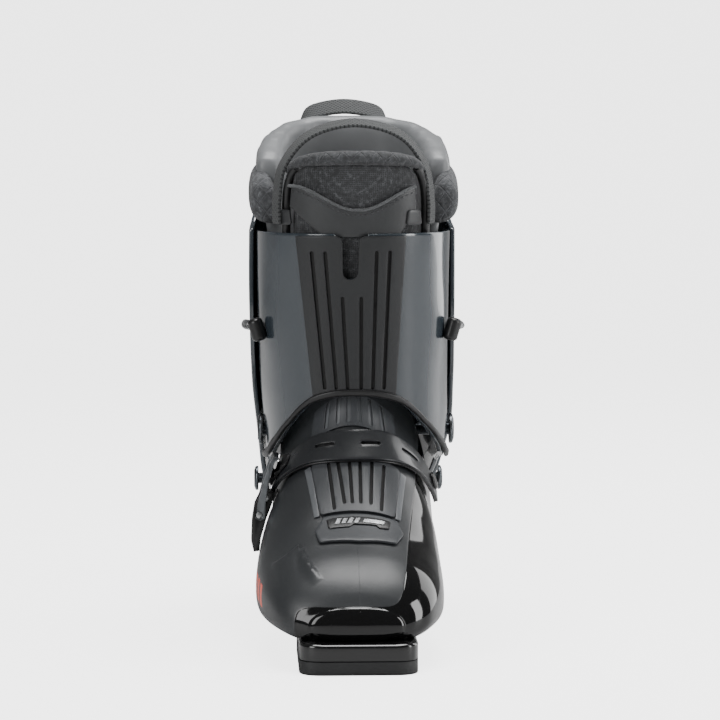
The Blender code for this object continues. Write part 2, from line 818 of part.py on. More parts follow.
def make_arch_trim():
    """Soft strip along the front cuff's lower edge."""
    grids = []
    columns = 26
    reach = math.radians(83)
    for offset in (2.8 * MM, 0.7 * MM):
        grid = []
        for r in range(3):
            row = []
            for c in range(columns + 1):
                angle = reach * (2 * c / columns - 1)
                z = arch_edge(angle) + (0.5 + 2.6 * r) * MM
                row.append(cuff_point(z, angle, offset))
            grid.append(row)
        grids.append(grid)
    return slab("arch_trim", grids[0], grids[1], "rubber", ANKLE)


# ---------------------------------------------------------------- liner above the shell


def make_tongue():
    """Padded liner tongue inside the front cuff."""
    rows, columns = 8, 12
    reach = math.radians(46)
    grids = []
    for outside in (True, False):
        grid = []
        for r in range(rows + 1):
            row = []
            for c in range(columns + 1):
                side = 2 * c / columns - 1
                top = 296 * MM - 14 * MM * side * side
                low = 184 * MM
                z = low + (top - low) * r / rows
                thickness = (8 + 8 * r / rows) * MM * (1 - 0.45 * side * side)
                offset = -CUFF_WALL - LINER_CLEARANCE - (0 if outside else thickness)
                row.append(cuff_point(z, reach * side, offset))
            grid.append(row)
        grids.append(grid)
    return slab("liner_tongue", grids[0], grids[1], "liner", ANKLE)


def make_liner_rear():
    """Padded calf part of the liner, with a domed top edge."""
    rows, columns = 8, 22
    start = math.radians(84)
    grids = []
    for outside in (True, False):
        grid = []
        for r in range(rows + 1):
            row = []
            for c in range(columns + 1):
                side = 2 * c / columns - 1
                angle = math.pi + side * (math.pi - start)
                low = (118 + 82 * abs(side) ** 1.5) * MM
                top = (317 - 24 * abs(side) ** 2.5) * MM
                z = low + (top - low) * r / rows
                back = max(0.0, 1 - (abs(side) / 0.64) ** 6)
                gap = -CUFF_WALL - 4.2 * MM + back * 7.6 * MM
                offset = gap - (0 if outside else (9 + 5 * back) * MM)
                row.append(cuff_point(z, angle, offset))
            grid.append(row)
        grids.append(grid)
    return slab("liner_rear", grids[0], grids[1], "liner", REAR_HINGE)


def make_liner_wings():
    """Soft collar wings that stand proud above the front cuff's top edge."""
    for name, side in (("left", -1), ("right", 1)):
        rows, columns = 6, 8
        grids = []
        for outside in (True, False):
            grid = []
            for r in range(rows + 1):
                row = []
                for c in range(columns + 1):
                    y = (4 + 40 * c / columns) * ALONG
                    z = (252 + (38 - 10 * (c / columns - 0.6) ** 2) * r / rows) * MM
                    if outside:
                        swell = 1 - abs(2 * r / rows - 1) ** 4
                        offset = -2 * MM + 8 * MM * swell
                    else:
                        offset = -CUFF_WALL - 3.8 * MM
                    row.append(cuff_point(z, cuff_angle_at_y(z, y, side, offset), offset))
                grid.append(row)
            grids.append(grid)
        slab(f"liner_wing_{name}", grids[0], grids[1], "liner", REAR_HINGE)


def make_pull_loops():
    front = [(-45, -33, 253), (-45, -33, 268), (-41, -34, 289), (-25, -36, 307), (2, -37, 314),
             (29, -36, 307), (44, -34, 289), (48, -33, 268), (48, -33, 253)]  # fmt: skip
    route = smooth_route([(x * ACROSS, y * ALONG, z * MM) for x, y, z in front], 4)
    sweep_band("front_pull_loop", route, Vector((0, 1, 0.2)), 11 * MM, 2 * MM, "webbing", ANKLE)
    rear = [(-26, 97, 303), (-26, 97, 311), (-20, 95, 321), (0, 94, 325), (20, 95, 321),
            (26, 97, 311), (26, 97, 303)]  # fmt: skip
    route = smooth_route([(x * ACROSS, y * ALONG, z * MM) for x, y, z in rear], 4)
    sweep_band("rear_pull_loop", route, Vector((0, 1, 0.2)), 14 * MM, 2 * MM, "webbing", REAR_HINGE)


# ---------------------------------------------------------------- instep strap and buckle


def strap_place(share):
    """Section and angle of the strap's middle line, from the outer (0) to the inner side (1)."""
    line = [(0.0, 7.95, -57.0), (0.25, 7.6, -30.0), (0.5, 7.35, 2.0), (0.75, 7.9, 36.0), (1.0, 9.1, 75.0)]
    u, angle = smooth(line, share)
    return u, math.radians(angle)


STRAP_HALF_WIDTH = [(0.0, 7.0), (0.25, 9.5), (0.5, 10.5), (0.8, 9.5), (1.0, 5.0)]
STRAP_LOW = 2.3 * MM
STRAP_HIGH = 5.0 * MM
LADDER_HALF_WIDTH = 5 * MM
STRAP_HINGE = Vector((44 * MM, -12 * ALONG, 112 * MM))


def strap_run(u, angle):
    """Distance on the shell for one section, at the strap's middle line."""
    step = 0.05
    return (shell_point(u + step, angle) - shell_point(u - step, angle)).length / (2 * step)


def strap_grid(first, last, columns, offset):
    rows = 2
    grid = []
    for r in range(rows + 1):
        row = []
        for c in range(columns + 1):
            share = first + (last - first) * c / columns
            u, angle = strap_place(share)
            half = smooth(STRAP_HALF_WIDTH, share)[0] * MM / strap_run(u, angle)
            row.append(shell_point(u + half * (2 * r / rows - 1), angle, offset))
        grid.append(row)
    return grid


def make_instep_strap():
    """Strap over the instep, the rivet of its inner end and the ladder of its outer end."""
    outside = strap_grid(0.0, 1.0, 20, STRAP_HIGH)
    inside = strap_grid(0.0, 1.0, 20, STRAP_LOW)
    slab("instep_strap", outside, inside, "strap", STRAP_HINGE)
    rivet_u, rivet_angle = strap_place(0.93)
    low = shell_point(rivet_u, rivet_angle, STRAP_HIGH + TOUCH)
    high = shell_point(rivet_u, rivet_angle, STRAP_HIGH + 1 * MM)
    profile = [(0, 5.5 * MM), (1.2 * MM, 5.5 * MM), (2 * MM, 4.2 * MM)]
    turned("strap_rivet", low, high - low, profile, "metal")
    teeth = 3
    grids = []
    for outer in (True, False):
        grid = []
        for r in range(2):
            row = []
            for c in range(teeth * 2 + 1):
                u, angle = strap_place(0.01 + 0.14 * c / (teeth * 2))
                height = (1.2 if c % 2 == 0 else 3.0) * MM
                offset = STRAP_HIGH + TOUCH + (height if outer else 0.0)
                half = LADDER_HALF_WIDTH / strap_run(u, angle)
                row.append(shell_point(u + half * (2 * r - 1), angle, offset))
            grid.append(row)
        grids.append(grid)
    slab("strap_ladder", grids[0], grids[1], "black_part", STRAP_HINGE)


BUCKLE_SEAT = shell_beside(BUCKLE_Y, BUCKLE_Z, -1)
BUCKLE_PIVOT = BUCKLE_SEAT + BUCKLE_PIVOT_OUT
BAIL_PIVOT = BUCKLE_SEAT + BAIL_PIVOT_OUT
BASE_HIGH = 1.6 * MM
CHEEK_INNER = KNUCKLE_WIDTH / 2 + CHEEK_GAP
CHEEK_OUTER = CHEEK_INNER + CHEEK
ARM_INNER = CHEEK_OUTER + CHEEK_GAP
ARM_OUTER = ARM_INNER + CHEEK


def across_buckle(name, outline, low, high, finish, origin=None):
    """A plate seen along Y, from low to high; its outline is measured from the buckle's seat."""
    points = [(BUCKLE_SEAT.x + x * MM, BUCKLE_SEAT.z + z * MM) for x, z in outline]
    return prism(name, points, "Y", BUCKLE_Y + low, BUCKLE_Y + high, finish, origin)


def make_buckle_base():
    """Plate on the shell's outer side, with a knuckle for the lever's pin."""
    rows, columns = 4, 4
    half_width = CHEEK_INNER - 0.3 * MM
    grids = []
    for offset in (BASE_HIGH, PATCH_GAP):
        grid = []
        for r in range(rows + 1):
            z = BUCKLE_Z + (-2.0 + 6 * r / rows) * MM
            row = []
            for c in range(columns + 1):
                row.append(shell_beside(BUCKLE_Y + half_width * (2 * c / columns - 1), z, -1, offset))
            grid.append(row)
        grids.append(grid)
    base = slab("buckle_base", grids[0], grids[1], "black_part")
    feet = []
    for z in (3.6, -1.8):
        foot = shell_beside(BUCKLE_Y, BUCKLE_Z + z * MM, -1, (PATCH_GAP + BASE_HIGH) / 2)
        feet.append(((foot.x - BUCKLE_SEAT.x) / MM, z))
    knuckle = feet + [(-6.5, -3.6), (-9.3, -2.0), (-10.0, 0.6), (-8.8, 3.2), (-6.0, 4.0)]
    half = KNUCKLE_WIDTH / 2
    join(base, across_buckle("buckle_knuckle", knuckle, -half, half, "black_part"))
    reach = Vector((0, 20 * MM, 0))
    radius = BUCKLE_PIN_RADIUS + PIN_CLEARANCE
    bore(base, "buckle_knuckle_hole", BUCKLE_PIVOT - reach, BUCKLE_PIVOT + reach, radius)


def make_instep_lever():
    """Lever of two cheeks and a back, which turns on the buckle base, with its two pins."""
    cheek = [(-2.4, -2.5), (-6.0, -12.0), (-9.4, -24.0), (-10.4, -32.0), (-13.9, -32.5), (-15.4, -26.0),
             (-14.9, -14.0), (-13.2, -4.0), (-9.4, 3.5), (-5.9, 5.0), (-2.4, 3.2)]  # fmt: skip
    back = [(-11.6, -31.7), (-13.9, -32.5), (-15.4, -26.0), (-14.9, -14.0), (-13.4, -5.0), (-11.8, -5.5),
            (-12.9, -14.0), (-13.4, -25.0)]  # fmt: skip
    finish = "black_part"
    lever = across_buckle("instep_lever", cheek, -CHEEK_OUTER, -CHEEK_INNER, finish, BUCKLE_PIVOT)
    join(lever, across_buckle("lever_cheek", cheek, CHEEK_INNER, CHEEK_OUTER, finish))
    join(lever, across_buckle("lever_back", back, -CHEEK_OUTER, CHEEK_OUTER, finish))
    reach = Vector((0, 30 * MM, 0))
    radius = BUCKLE_PIN_RADIUS + PIN_CLEARANCE
    for name, pivot, half in (
        ("instep_lever_pin", BUCKLE_PIVOT, CHEEK_OUTER),
        ("bail_pin", BAIL_PIVOT, ARM_OUTER),
    ):
        bore(lever, f"{name}_hole", pivot - reach, pivot + reach, radius)
        along = Vector((0, half, 0))
        rod(name, pivot - along, pivot + along, BUCKLE_PIN_RADIUS, "metal", BUCKLE_PIVOT)


def make_instep_bail():
    """Frame that hooks over the ladder: two arms and a plate between their tops."""
    arm = [(-12.8, -11.5), (-9.6, -13.2), (-6.9, -11.5), (-6.3, 0.0), (-4.8, 10.0), (-2.4, 19.0),
           (-0.6, 23.2), (-1.6, 26.2), (-4.2, 22.0), (-8.6, 8.0), (-11.5, -3.0)]  # fmt: skip
    plate = [(-5.6, 13.0), (-4.6, 13.3), (-2.4, 19.0), (-0.6, 23.2), (1.6, 24.2), (1.6, 25.6),
             (-1.6, 26.2), (-3.8, 21.6)]  # fmt: skip
    bail = across_buckle("instep_bail", arm, -ARM_OUTER, -ARM_INNER, "metal", BAIL_PIVOT)
    join(bail, across_buckle("bail_arm", arm, ARM_INNER, ARM_OUTER, "metal"))
    join(bail, across_buckle("bail_plate", plate, -ARM_OUTER, ARM_OUTER, "metal"))
    reach = Vector((0, 30 * MM, 0))
    radius = BUCKLE_PIN_RADIUS + PIN_CLEARANCE
    bore(bail, "bail_hole", BAIL_PIVOT - reach, BAIL_PIVOT + reach, radius)


# ---------------------------------------------------------------- closing lever and cable


def spine_frame():
    """Matrix with X across, Y out of the spine and Z up along it, at the lever's pin."""
    low = cuff_point(SPINE_LEVER_FOOT, math.pi, REAR_CUFF_OUT)
    high = cuff_point(SPINE_LEVER_FOOT + 50 * MM, math.pi, REAR_CUFF_OUT)
    up = (high - low).normalized()
    out = Vector((0, up.z, -up.y))
    low.x = 0
    middle = low + out * 7.5 * MM
    turn = Matrix((Vector((1, 0, 0)), out, up)).transposed()
    return Matrix.Translation(middle) @ turn.to_4x4()


def on_spine(frame, outline, low, high, name, finish, origin):
    """A plate seen from the side of the spine, from low to high across it."""
    rings = []
    for x in (low, high):
        rings.append([frame @ Vector((x, out * MM, up * MM)) for out, up in outline])
    return loft(name, rings, finish, origin)


def make_closing_lever():
    frame = spine_frame()
    pivot = frame.translation.copy()
    half = SPINE_LEVER_WIDTH / 2
    ear_in = half + CHEEK_GAP
    ear_out = ear_in + SPINE_EAR
    plate = [(-7.0, -12), (-7.0, 14), (-4.8, 14), (-4.8, -12)]
    ear = [(-6.5, -9), (-2, -6), (3, -4.2), (4.6, 0), (3, 4.2), (-2, 7), (-6.5, 12)]
    base = on_spine(frame, plate, -ear_out, ear_out, "lever_base", "black_part", REAR_HINGE)
    for name, low, high in (("lever_ear_left", -ear_out, -ear_in), ("lever_ear_right", ear_in, ear_out)):
        join(base, on_spine(frame, ear, low, high, name, "black_part", None))
    reach = frame.to_3x3() @ Vector((0.03, 0, 0))
    bore(base, "lever_base_hole", pivot - reach, pivot + reach, SPINE_PIN_RADIUS + PIN_CLEARANCE)
    pin = frame.to_3x3() @ Vector((ear_out, 0, 0))
    rod("closing_lever_pin", pivot - pin, pivot + pin, SPINE_PIN_RADIUS, "metal", pivot)
    length = SPINE_LEVER_LENGTH / MM
    outline = [(-3.8, -2), (0, -4.2), (3.6, -2.4), (5, 3), (5.2, 20), (4, length - 12), (5.5, length),
               (2.6, length + 1.5), (0.2, length - 10), (0.4, 22), (-3.8, 16)]  # fmt: skip
    lever = on_spine(frame, outline, -half, half, "closing_lever", "black_part", pivot)
    bore(lever, "closing_lever_hole", pivot - reach, pivot + reach, SPINE_PIN_RADIUS + PIN_CLEARANCE)


ANCHOR_Z = 187 * MM
ANCHOR_Y = -8 * ALONG
ANCHOR_PROUD = 2.2 * MM
CABLE_OUT = REAR_CUFF_OUT + CABLE_STAND_OFF + CABLE_RADIUS
CABLE_ROUTE = [(0.0, 100, 186), (0.25, 113, 184), (0.5, 133, 180), (0.75, 153, 174.5), (1.0, 167, 171)]


def anchor_middle(side):
    surface = cuff_point(ANCHOR_Z, cuff_angle_at_y(ANCHOR_Z, ANCHOR_Y, side))
    return surface + Vector((side * (ANCHOR_RADIUS + ANCHOR_PROUD), 0, 0))


def make_cable_anchors():
    """Round barrels on the front cuff that hold the cable's ends, each on its screw."""
    for name, side in (("left", -1), ("right", 1)):
        middle = anchor_middle(side)
        lean = Vector((-side * 0.28, 0, -0.96)).normalized()
        edge = 1.5 * MM
        turned(
            f"cable_anchor_{name}",
            middle - lean * ANCHOR_LENGTH / 2,
            lean,
            [
                (0, ANCHOR_RADIUS - edge),
                (edge, ANCHOR_RADIUS),
                (ANCHOR_LENGTH - edge, ANCHOR_RADIUS),
                (ANCHOR_LENGTH, ANCHOR_RADIUS - edge),
            ],
            "black_part",
            ANKLE,
        )


def cable_place(share):
    """Angle and height of the cable on the rear cuff, from its front edge to the closing lever."""
    angle, z = smooth(CABLE_ROUTE, share)
    return math.radians(angle), z * MM


def make_cable():
    """The closing cable on each side, from its anchor to the closing lever."""
    base_half = SPINE_LEVER_WIDTH / 2 + CHEEK_GAP + SPINE_EAR
    for name, side in (("left", -1), ("right", 1)):
        start = anchor_middle(side) + Vector((0, ANCHOR_RADIUS + 1 * MM, 0))
        beside = cuff_angle_at_y(ANCHOR_Z, 15 * ALONG, side)
        places = [start, cuff_point(ANCHOR_Z, beside, CABLE_OUT)]
        for share in (0, 0.25, 0.5, 0.75):
            angle, z = cable_place(share)
            places.append(cuff_point(z, side * angle, CABLE_OUT))
        _, z = cable_place(1.0)
        x = CUFF_MIDDLE + side * (base_half + 1.5 * MM + CUFF_MIDDLE)
        places.append(cuff_point(z, math.pi - cuff_angle_at_x(z, x, CABLE_OUT), CABLE_OUT))
        points = smooth_route([tuple(place) for place in places], 4)
        curve = bpy.data.curves.new(f"cable_{name}", "CURVE")
        curve.dimensions = "3D"
        curve.bevel_depth = CABLE_RADIUS
        curve.bevel_resolution = 2
        curve.use_fill_caps = True
        spline = curve.splines.new("POLY")
        spline.points.add(len(points) - 1)
        for target, point in zip(spline.points, points):
            target.co = (*(point - REAR_HINGE), 1)
        curve.materials.append(material("metal", *FINISHES["metal"]))
        obj = bpy.data.objects.new(f"cable_{name}", curve)
        obj.location = REAR_HINGE + CENTRE_SHIFT
        bpy.context.scene.collection.objects.link(obj)


def make_cable_guides():
    """Open channels on the rear cuff that the cable runs in."""
    low = REAR_CUFF_OUT + PATCH_GAP
    seat = CABLE_OUT - CABLE_RADIUS - TOUCH
    lip = CABLE_OUT + CABLE_RADIUS
    inner, outer = CABLE_RADIUS + PATCH_GAP, CABLE_RADIUS + 2.2 * MM
    section = [(-outer, low), (outer, low), (outer, lip), (inner, lip), (inner, seat), (-inner, seat),
               (-inner, lip), (-outer, lip)]  # fmt: skip
    for name, side in (("left", -1), ("right", 1)):
        rings = []
        for i in range(5):
            angle, z = cable_place(0.44 + 0.14 * i / 4)
            rings.append([cuff_point(z + up, side * angle, out) for up, out in section])
        loft(f"cable_guide_{name}", rings, "black_part", REAR_HINGE)


def main():
    clear_scene()
    make_lower_shell()
    make_sole_pads()
    make_boot_board()
    make_liner_foot()
    make_instep_pieces()
    make_front_cuff()
    make_rear_cuff()
    make_rivets()
    make_flex_panel()
    make_arch_trim()
    make_tongue()
    make_liner_rear()
    make_liner_wings()
    make_pull_loops()
    make_instep_strap()
    make_buckle_base()
    make_instep_lever()
    make_instep_bail()
    make_closing_lever()
    make_cable_anchors()
    make_cable()
    make_cable_guides()


main()
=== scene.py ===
"""Looks of a rear-entry alpine ski boot for the right foot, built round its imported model."""

import json
import math

import bpy
from mathutils import Matrix, Vector

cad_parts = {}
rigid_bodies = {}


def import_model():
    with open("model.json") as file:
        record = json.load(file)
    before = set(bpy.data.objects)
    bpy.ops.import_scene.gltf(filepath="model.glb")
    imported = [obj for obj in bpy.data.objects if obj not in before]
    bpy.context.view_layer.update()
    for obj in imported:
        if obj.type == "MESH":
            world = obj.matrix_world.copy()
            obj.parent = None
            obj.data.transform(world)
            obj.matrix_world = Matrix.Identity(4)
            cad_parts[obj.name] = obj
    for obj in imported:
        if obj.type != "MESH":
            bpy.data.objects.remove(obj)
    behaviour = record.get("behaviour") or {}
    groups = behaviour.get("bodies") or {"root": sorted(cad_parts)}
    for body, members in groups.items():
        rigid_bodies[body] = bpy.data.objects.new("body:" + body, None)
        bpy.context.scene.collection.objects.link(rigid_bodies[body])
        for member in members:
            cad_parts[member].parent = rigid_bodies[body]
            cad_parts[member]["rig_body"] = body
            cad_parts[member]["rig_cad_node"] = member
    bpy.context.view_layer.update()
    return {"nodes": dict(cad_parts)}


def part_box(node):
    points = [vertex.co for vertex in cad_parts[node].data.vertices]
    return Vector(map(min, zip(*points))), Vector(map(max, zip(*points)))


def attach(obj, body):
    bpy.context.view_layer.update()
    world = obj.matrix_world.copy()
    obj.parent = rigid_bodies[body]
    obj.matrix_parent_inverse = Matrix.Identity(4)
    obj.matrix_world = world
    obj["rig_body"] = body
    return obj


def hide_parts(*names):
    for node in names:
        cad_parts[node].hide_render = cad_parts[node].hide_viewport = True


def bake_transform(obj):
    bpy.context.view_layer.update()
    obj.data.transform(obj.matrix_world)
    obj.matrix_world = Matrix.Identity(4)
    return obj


bl_info = {
    "name": "Rear-entry Ski Boot",
    "version": (1, 0, 0),
    "blender": (4, 5, 0),
    "location": "3D View > Sidebar > Ski Boot",
    "description": "Builds the finished pieces of a rear-entry ski boot round its packed model",
    "category": "Object",
}

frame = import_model()

MM = 0.001
SIDE_SHIFT = Vector((-4 * MM, 0, 0))
SOLE_LENGTH = 310 * MM
HALF = 56.25 * MM
SHELL_WALL = 4.5 * MM
SHELL_FLOOR = 6 * MM
CUFF_WALL = 3.6 * MM
REAR_CUFF_IN = 1.5 * MM
REAR_CUFF_OUT = 5.1 * MM
CUFF_MIDDLE = 1.5 * MM
CUFF_RADIUS = 57.5 * MM
ANKLE_PIVOT = (40 * MM, 120 * MM)
HINGE_PIVOT = (107 * MM, 80 * MM)
TONGUE_TURN = math.radians(46)
# Near-black colour of the groove floors: painted shade inside the rib panels' grooves.
GROOVE_SHADE_DARK = (0.003, 0.003, 0.0032)
CLOTH_PRESSURE = 4.0
CLOTH_FRAMES = 20

# Shell sections from toe cap to collar: top place along the sole, top height, base place, base
# height, outer and inner half width, level of the widest place, roundness above and below it.
SHELL_SECTIONS = [
    (0.042, 38, 0.040, 17, 0.52, 0.48, 0.42, 2.2, 2.5),
    (0.058, 46, 0.052, 14.5, 0.68, 0.62, 0.42, 2.2, 2.5),
    (0.085, 54, 0.075, 14, 0.81, 0.755, 0.40, 2.2, 2.6),
    (0.125, 62, 0.12, 14, 0.91, 0.85, 0.38, 2.2, 2.8),
    (0.177, 69.5, 0.18, 14, 0.985, 0.92, 0.34, 2.15, 3.0),
    (0.242, 81, 0.258, 13, 1.03, 0.955, 0.30, 2.1, 3.1),
    (0.306, 99, 0.34, 13, 1.04, 0.96, 0.28, 2.0, 3.2),
    (0.352, 116, 0.43, 12.5, 1.0, 0.95, 0.30, 2.0, 3.2),
    (0.385, 131, 0.53, 12, 0.92, 0.93, 0.33, 1.85, 3.2),
    (0.405, 145, 0.64, 12, 0.87, 0.93, 0.38, 1.7, 3.1),
    (0.418, 156, 0.75, 12, 0.83, 0.92, 0.44, 1.7, 3.0),
    (0.424, 164, 0.85, 13, 0.79, 0.88, 0.50, 1.75, 2.9),
    (0.428, 169, 0.925, 18, 0.75, 0.83, 0.50, 1.8, 2.7),
    (0.431, 173, 0.962, 40, 0.74, 0.80, 0.50, 1.85, 2.5),
    (0.433, 175, 0.965, 70, 0.74, 0.80, 0.50, 1.85, 2.4),
    (0.434, 177, 0.95, 98, 0.735, 0.79, 0.50, 1.85, 2.4),
]
COLLAR = len(SHELL_SECTIONS) - 1

# Cuff levels: height, front and rear place along the sole, outer and inner half width, roundness.
CUFF_LEVELS = [
    (0.060, 0.42, 0.973, 0.84, 0.84, 4.0),
    (0.078, 0.42, 0.971, 0.87, 0.92, 3.8),
    (0.095, 0.400, 0.966, 0.915, 1.01, 3.3),
    (0.120, 0.392, 0.950, 0.95, 1.087, 2.7),
    (0.150, 0.378, 0.920, 1.00, 1.09, 2.5),
    (0.200, 0.352, 0.868, 1.03, 1.085, 2.45),
    (0.250, 0.320, 0.826, 1.035, 1.09, 2.45),
    (0.325, 0.285, 0.785, 1.035, 1.09, 2.45),
]


# ---------------------------------------------------------------- settings


class BootSizes(bpy.types.PropertyGroup):
    """Sizes that a maker may want to change without touching the pieces' fit."""

    rim: bpy.props.FloatProperty(
        name="Rim", description="Radius of the moulded rims", default=0.9 * MM, unit="LENGTH"
    )
    groove: bpy.props.FloatProperty(
        name="Groove", description="Width of the panel grooves", default=2.1 * MM, unit="LENGTH"
    )
    piping: bpy.props.FloatProperty(
        name="Piping", description="Radius of the tongue's piping", default=1.0 * MM, unit="LENGTH"
    )
    stitch: bpy.props.FloatProperty(
        name="Stitch", description="Length of one stitch", default=1.9 * MM, unit="LENGTH"
    )
    weave: bpy.props.FloatProperty(
        name="Weave", description="Pitch of the webbing's threads", default=2.6 * MM, unit="LENGTH"
    )


def colour_setting(name, description, colour):
    return bpy.props.FloatVectorProperty(
        name=name, description=description, default=colour, subtype="COLOR", size=3, min=0, max=1
    )


class BootColours(bpy.types.PropertyGroup):
    """Colours of the boot's finishes."""

    shell: colour_setting("Shell", "Matte part of the lower shell", (0.024, 0.026, 0.028))
    gloss: colour_setting("Gloss", "Glossy part of the lower shell", (0.003, 0.003, 0.0032))
    cuff: colour_setting("Cuff", "Slate plastic of both cuffs", (0.031, 0.040, 0.049))
    panel: colour_setting("Panel", "Ribbed soft panels", (0.0125, 0.0135, 0.0148))
    instep: colour_setting("Instep", "Ribbed instep panel", (0.037, 0.040, 0.044))
    bars: colour_setting("Bars", "Light bars beside the instep panel", (0.095, 0.101, 0.108))
    strap: colour_setting("Strap", "Instep strap", (0.016, 0.0175, 0.0195))
    black: colour_setting("Black parts", "Small black plastic parts", (0.006, 0.006, 0.0065))
    rubber: colour_setting("Rubber", "Sole pads and trim", (0.009, 0.0095, 0.010))
    smooth_liner: colour_setting("Smooth liner", "Padded calf part", (0.155, 0.16, 0.165))
    tongue: colour_setting("Tongue", "Smooth part of the tongue", (0.026, 0.0275, 0.029))
    textile: colour_setting("Textile", "Knitted liner fabric", (0.019, 0.0197, 0.021))
    webbing: colour_setting("Webbing", "Pull loops", (0.026, 0.0275, 0.028))
    alloy: colour_setting("Alloy", "Buckle frame, rivets and screws", (0.42, 0.43, 0.44))
    accent: colour_setting("Accent", "Slanted graphic on the toe", (0.85, 0.062, 0.018))


def sizes():
    return bpy.context.scene.boot_sizes


def colours():
    return bpy.context.scene.boot_colours


# ---------------------------------------------------------------- forms of the shell and the cuff


def smooth(table, place):
    """Row of the table at a place in its first column, on a smooth curve through the rows."""
    last = len(table) - 1
    i = 0
    while i < last - 1 and place > table[i + 1][0]:
        i += 1
    low, high = table[i], table[i + 1]
    span = high[0] - low[0]
    t = min(1.0, max(0.0, (place - low[0]) / span))
    before = table[max(0, i - 1)]
    after = table[min(last, i + 2)]
    row = []
    for column in range(1, len(low)):
        slope_low = (high[column] - before[column]) / (high[0] - before[0])
        slope_high = (after[column] - low[column]) / (after[0] - low[0])
        row.append(
            low[column] * (2 * t**3 - 3 * t**2 + 1)
            + slope_low * span * (t**3 - 2 * t**2 + t)
            + high[column] * (3 * t**2 - 2 * t**3)
            + slope_high * span * (t**3 - t**2)
        )
    return row


SECTION_TABLE = [(i, *row) for i, row in enumerate(SHELL_SECTIONS)]


def power(value, exponent):
    return math.copysign(abs(value) ** exponent, value)


def step_between(low, high, value):
    """0 below low, 1 above high and a soft step between them."""
    t = min(1.0, max(0.0, (value - low) / (high - low)))
    return t * t * (3 - 2 * t)


def shell_section(u):
    """Top, widest and base points, half widths and roundness of the shell's section u."""
    top_at, top_z, base_at, base_z, outer, inner, level, round_top, round_base = smooth(
        SECTION_TABLE, u
    )
    top = Vector((0, SOLE_LENGTH * (top_at - 0.5), top_z * MM))
    base = Vector((0, SOLE_LENGTH * (base_at - 0.5), base_z * MM))
    return top, base.lerp(top, level), base, outer * HALF, inner * HALF, round_top, round_base


def section_point(section, angle, top_in=0.0, base_in=0.0, side_in=0.0):
    top, middle, base, outer, inner, round_top, round_base = section
    run = (top - base).normalized()
    across, along = math.sin(angle), math.cos(angle)
    roundness = round_top if along >= 0 else round_base
    end = top - run * top_in if along >= 0 else base + run * base_in
    point = middle.lerp(end, abs(power(along, 2 / roundness)))
    point.x = ((inner if across >= 0 else outer) - side_in) * power(across, 2 / roundness)
    return point


def shell_normal(u, angle):
    """Outward direction of the shell's surface."""
    along = section_point(shell_section(min(COLLAR, u + 0.05)), angle)
    along = along - section_point(shell_section(max(0, u - 0.05)), angle)
    section = shell_section(u)
    around = section_point(section, angle + 0.03) - section_point(section, angle - 0.03)
    normal = along.cross(around).normalized()
    outwards = section_point(section, angle) - section[1]
    return normal if normal.dot(outwards) >= 0 else -normal


def shell_point(u, angle, offset=0.0):
    """A point of the shell's outside, at an angle from the top of section u, moved out."""
    point = section_point(shell_section(u), angle)
    return point + shell_normal(u, angle) * offset if offset else point


def shell_angle(u, x):
    """Angle at which the upper half of section u is x to the side."""
    outer, inner, round_top = (shell_section(u)[i] for i in (3, 4, 5))
    share = min(0.999, abs(x) / (inner if x >= 0 else outer))
    return math.copysign(math.asin(share ** (round_top / 2)), x)


def cuff_level(z):
    """Middle along, half length, outer and inner half width and roundness at height z."""
    front, rear, outer, inner, roundness = smooth(CUFF_LEVELS, z)
    front_y = SOLE_LENGTH * (front - 0.5)
    rear_y = SOLE_LENGTH * (rear - 0.5)
    return (front_y + rear_y) / 2, (rear_y - front_y) / 2, outer * HALF, inner * HALF, roundness


def cuff_point(z, angle, offset=0.0):
    """A point on the cuff's outside: angle 0 is the front, positive towards +X."""
    middle_y, length, outer, inner, roundness = cuff_level(z)
    across, along = math.sin(angle), math.cos(angle)
    width = (inner if across >= 0 else outer) + offset
    x = CUFF_MIDDLE + width * power(across, 2 / roundness)
    return Vector((x, middle_y - (length + offset) * power(along, 2 / roundness), z))


def cuff_angle_at_x(z, x, offset=0.0):
    """Angle from the front at which the cuff is x to the side."""
    _, _, outer, inner, roundness = cuff_level(z)
    width = (inner if x >= CUFF_MIDDLE else outer) + offset
    share = min(0.999, abs(x - CUFF_MIDDLE) / width)
    return math.copysign(math.asin(share ** (roundness / 2)), x - CUFF_MIDDLE)


def cuff_angle_at_y(z, y, side, offset=0.0):
    """Angle at which one side of the cuff is at y."""
    middle_y, length, _, _, roundness = cuff_level(z)
    share = max(-1.0, min(1.0, (middle_y - y) / (length + offset)))
    return side * math.acos(power(share, roundness / 2))


# ---------------------------------------------------------------- bench work


def deselect():
    bpy.ops.object.select_all(action="DESELECT")


def take(piece):
    """Makes a piece the only selected and the active one."""
    deselect()
    piece.select_set(True)
    bpy.context.view_layer.objects.active = piece


def edit(piece):
    take(piece)
    bpy.ops.object.mode_set(mode="EDIT")
    bpy.ops.mesh.select_all(action="SELECT")


def leave():
    bpy.ops.object.mode_set(mode="OBJECT")


def modify(piece, kind, **settings):
    """Adds a modifier with these settings and applies it."""
    take(piece)
    modifier = piece.modifiers.new(kind.title(), kind)
    for name, value in settings.items():
        setattr(modifier, name, value)
    bpy.ops.object.modifier_apply(modifier=modifier.name)


def round_rims(piece, width, segments=2, angle=30):
    """Bevels the edges that are sharper than this angle."""
    limit = math.radians(angle)
    modify(
        piece, "BEVEL", width=width, segments=segments, limit_method="ANGLE", angle_limit=limit
    )


def edit_faces(piece, wanted):
    """Opens a piece in edit mode with only the wanted faces selected."""
    edit(piece)
    bpy.ops.mesh.select_all(action="DESELECT")
    leave()
    for polygon in piece.data.polygons:
        polygon.select = wanted(polygon)
    bpy.ops.object.mode_set(mode="EDIT")


def soften(piece, angle=35):
    take(piece)
    bpy.ops.object.shade_smooth_by_angle(angle=math.radians(angle))


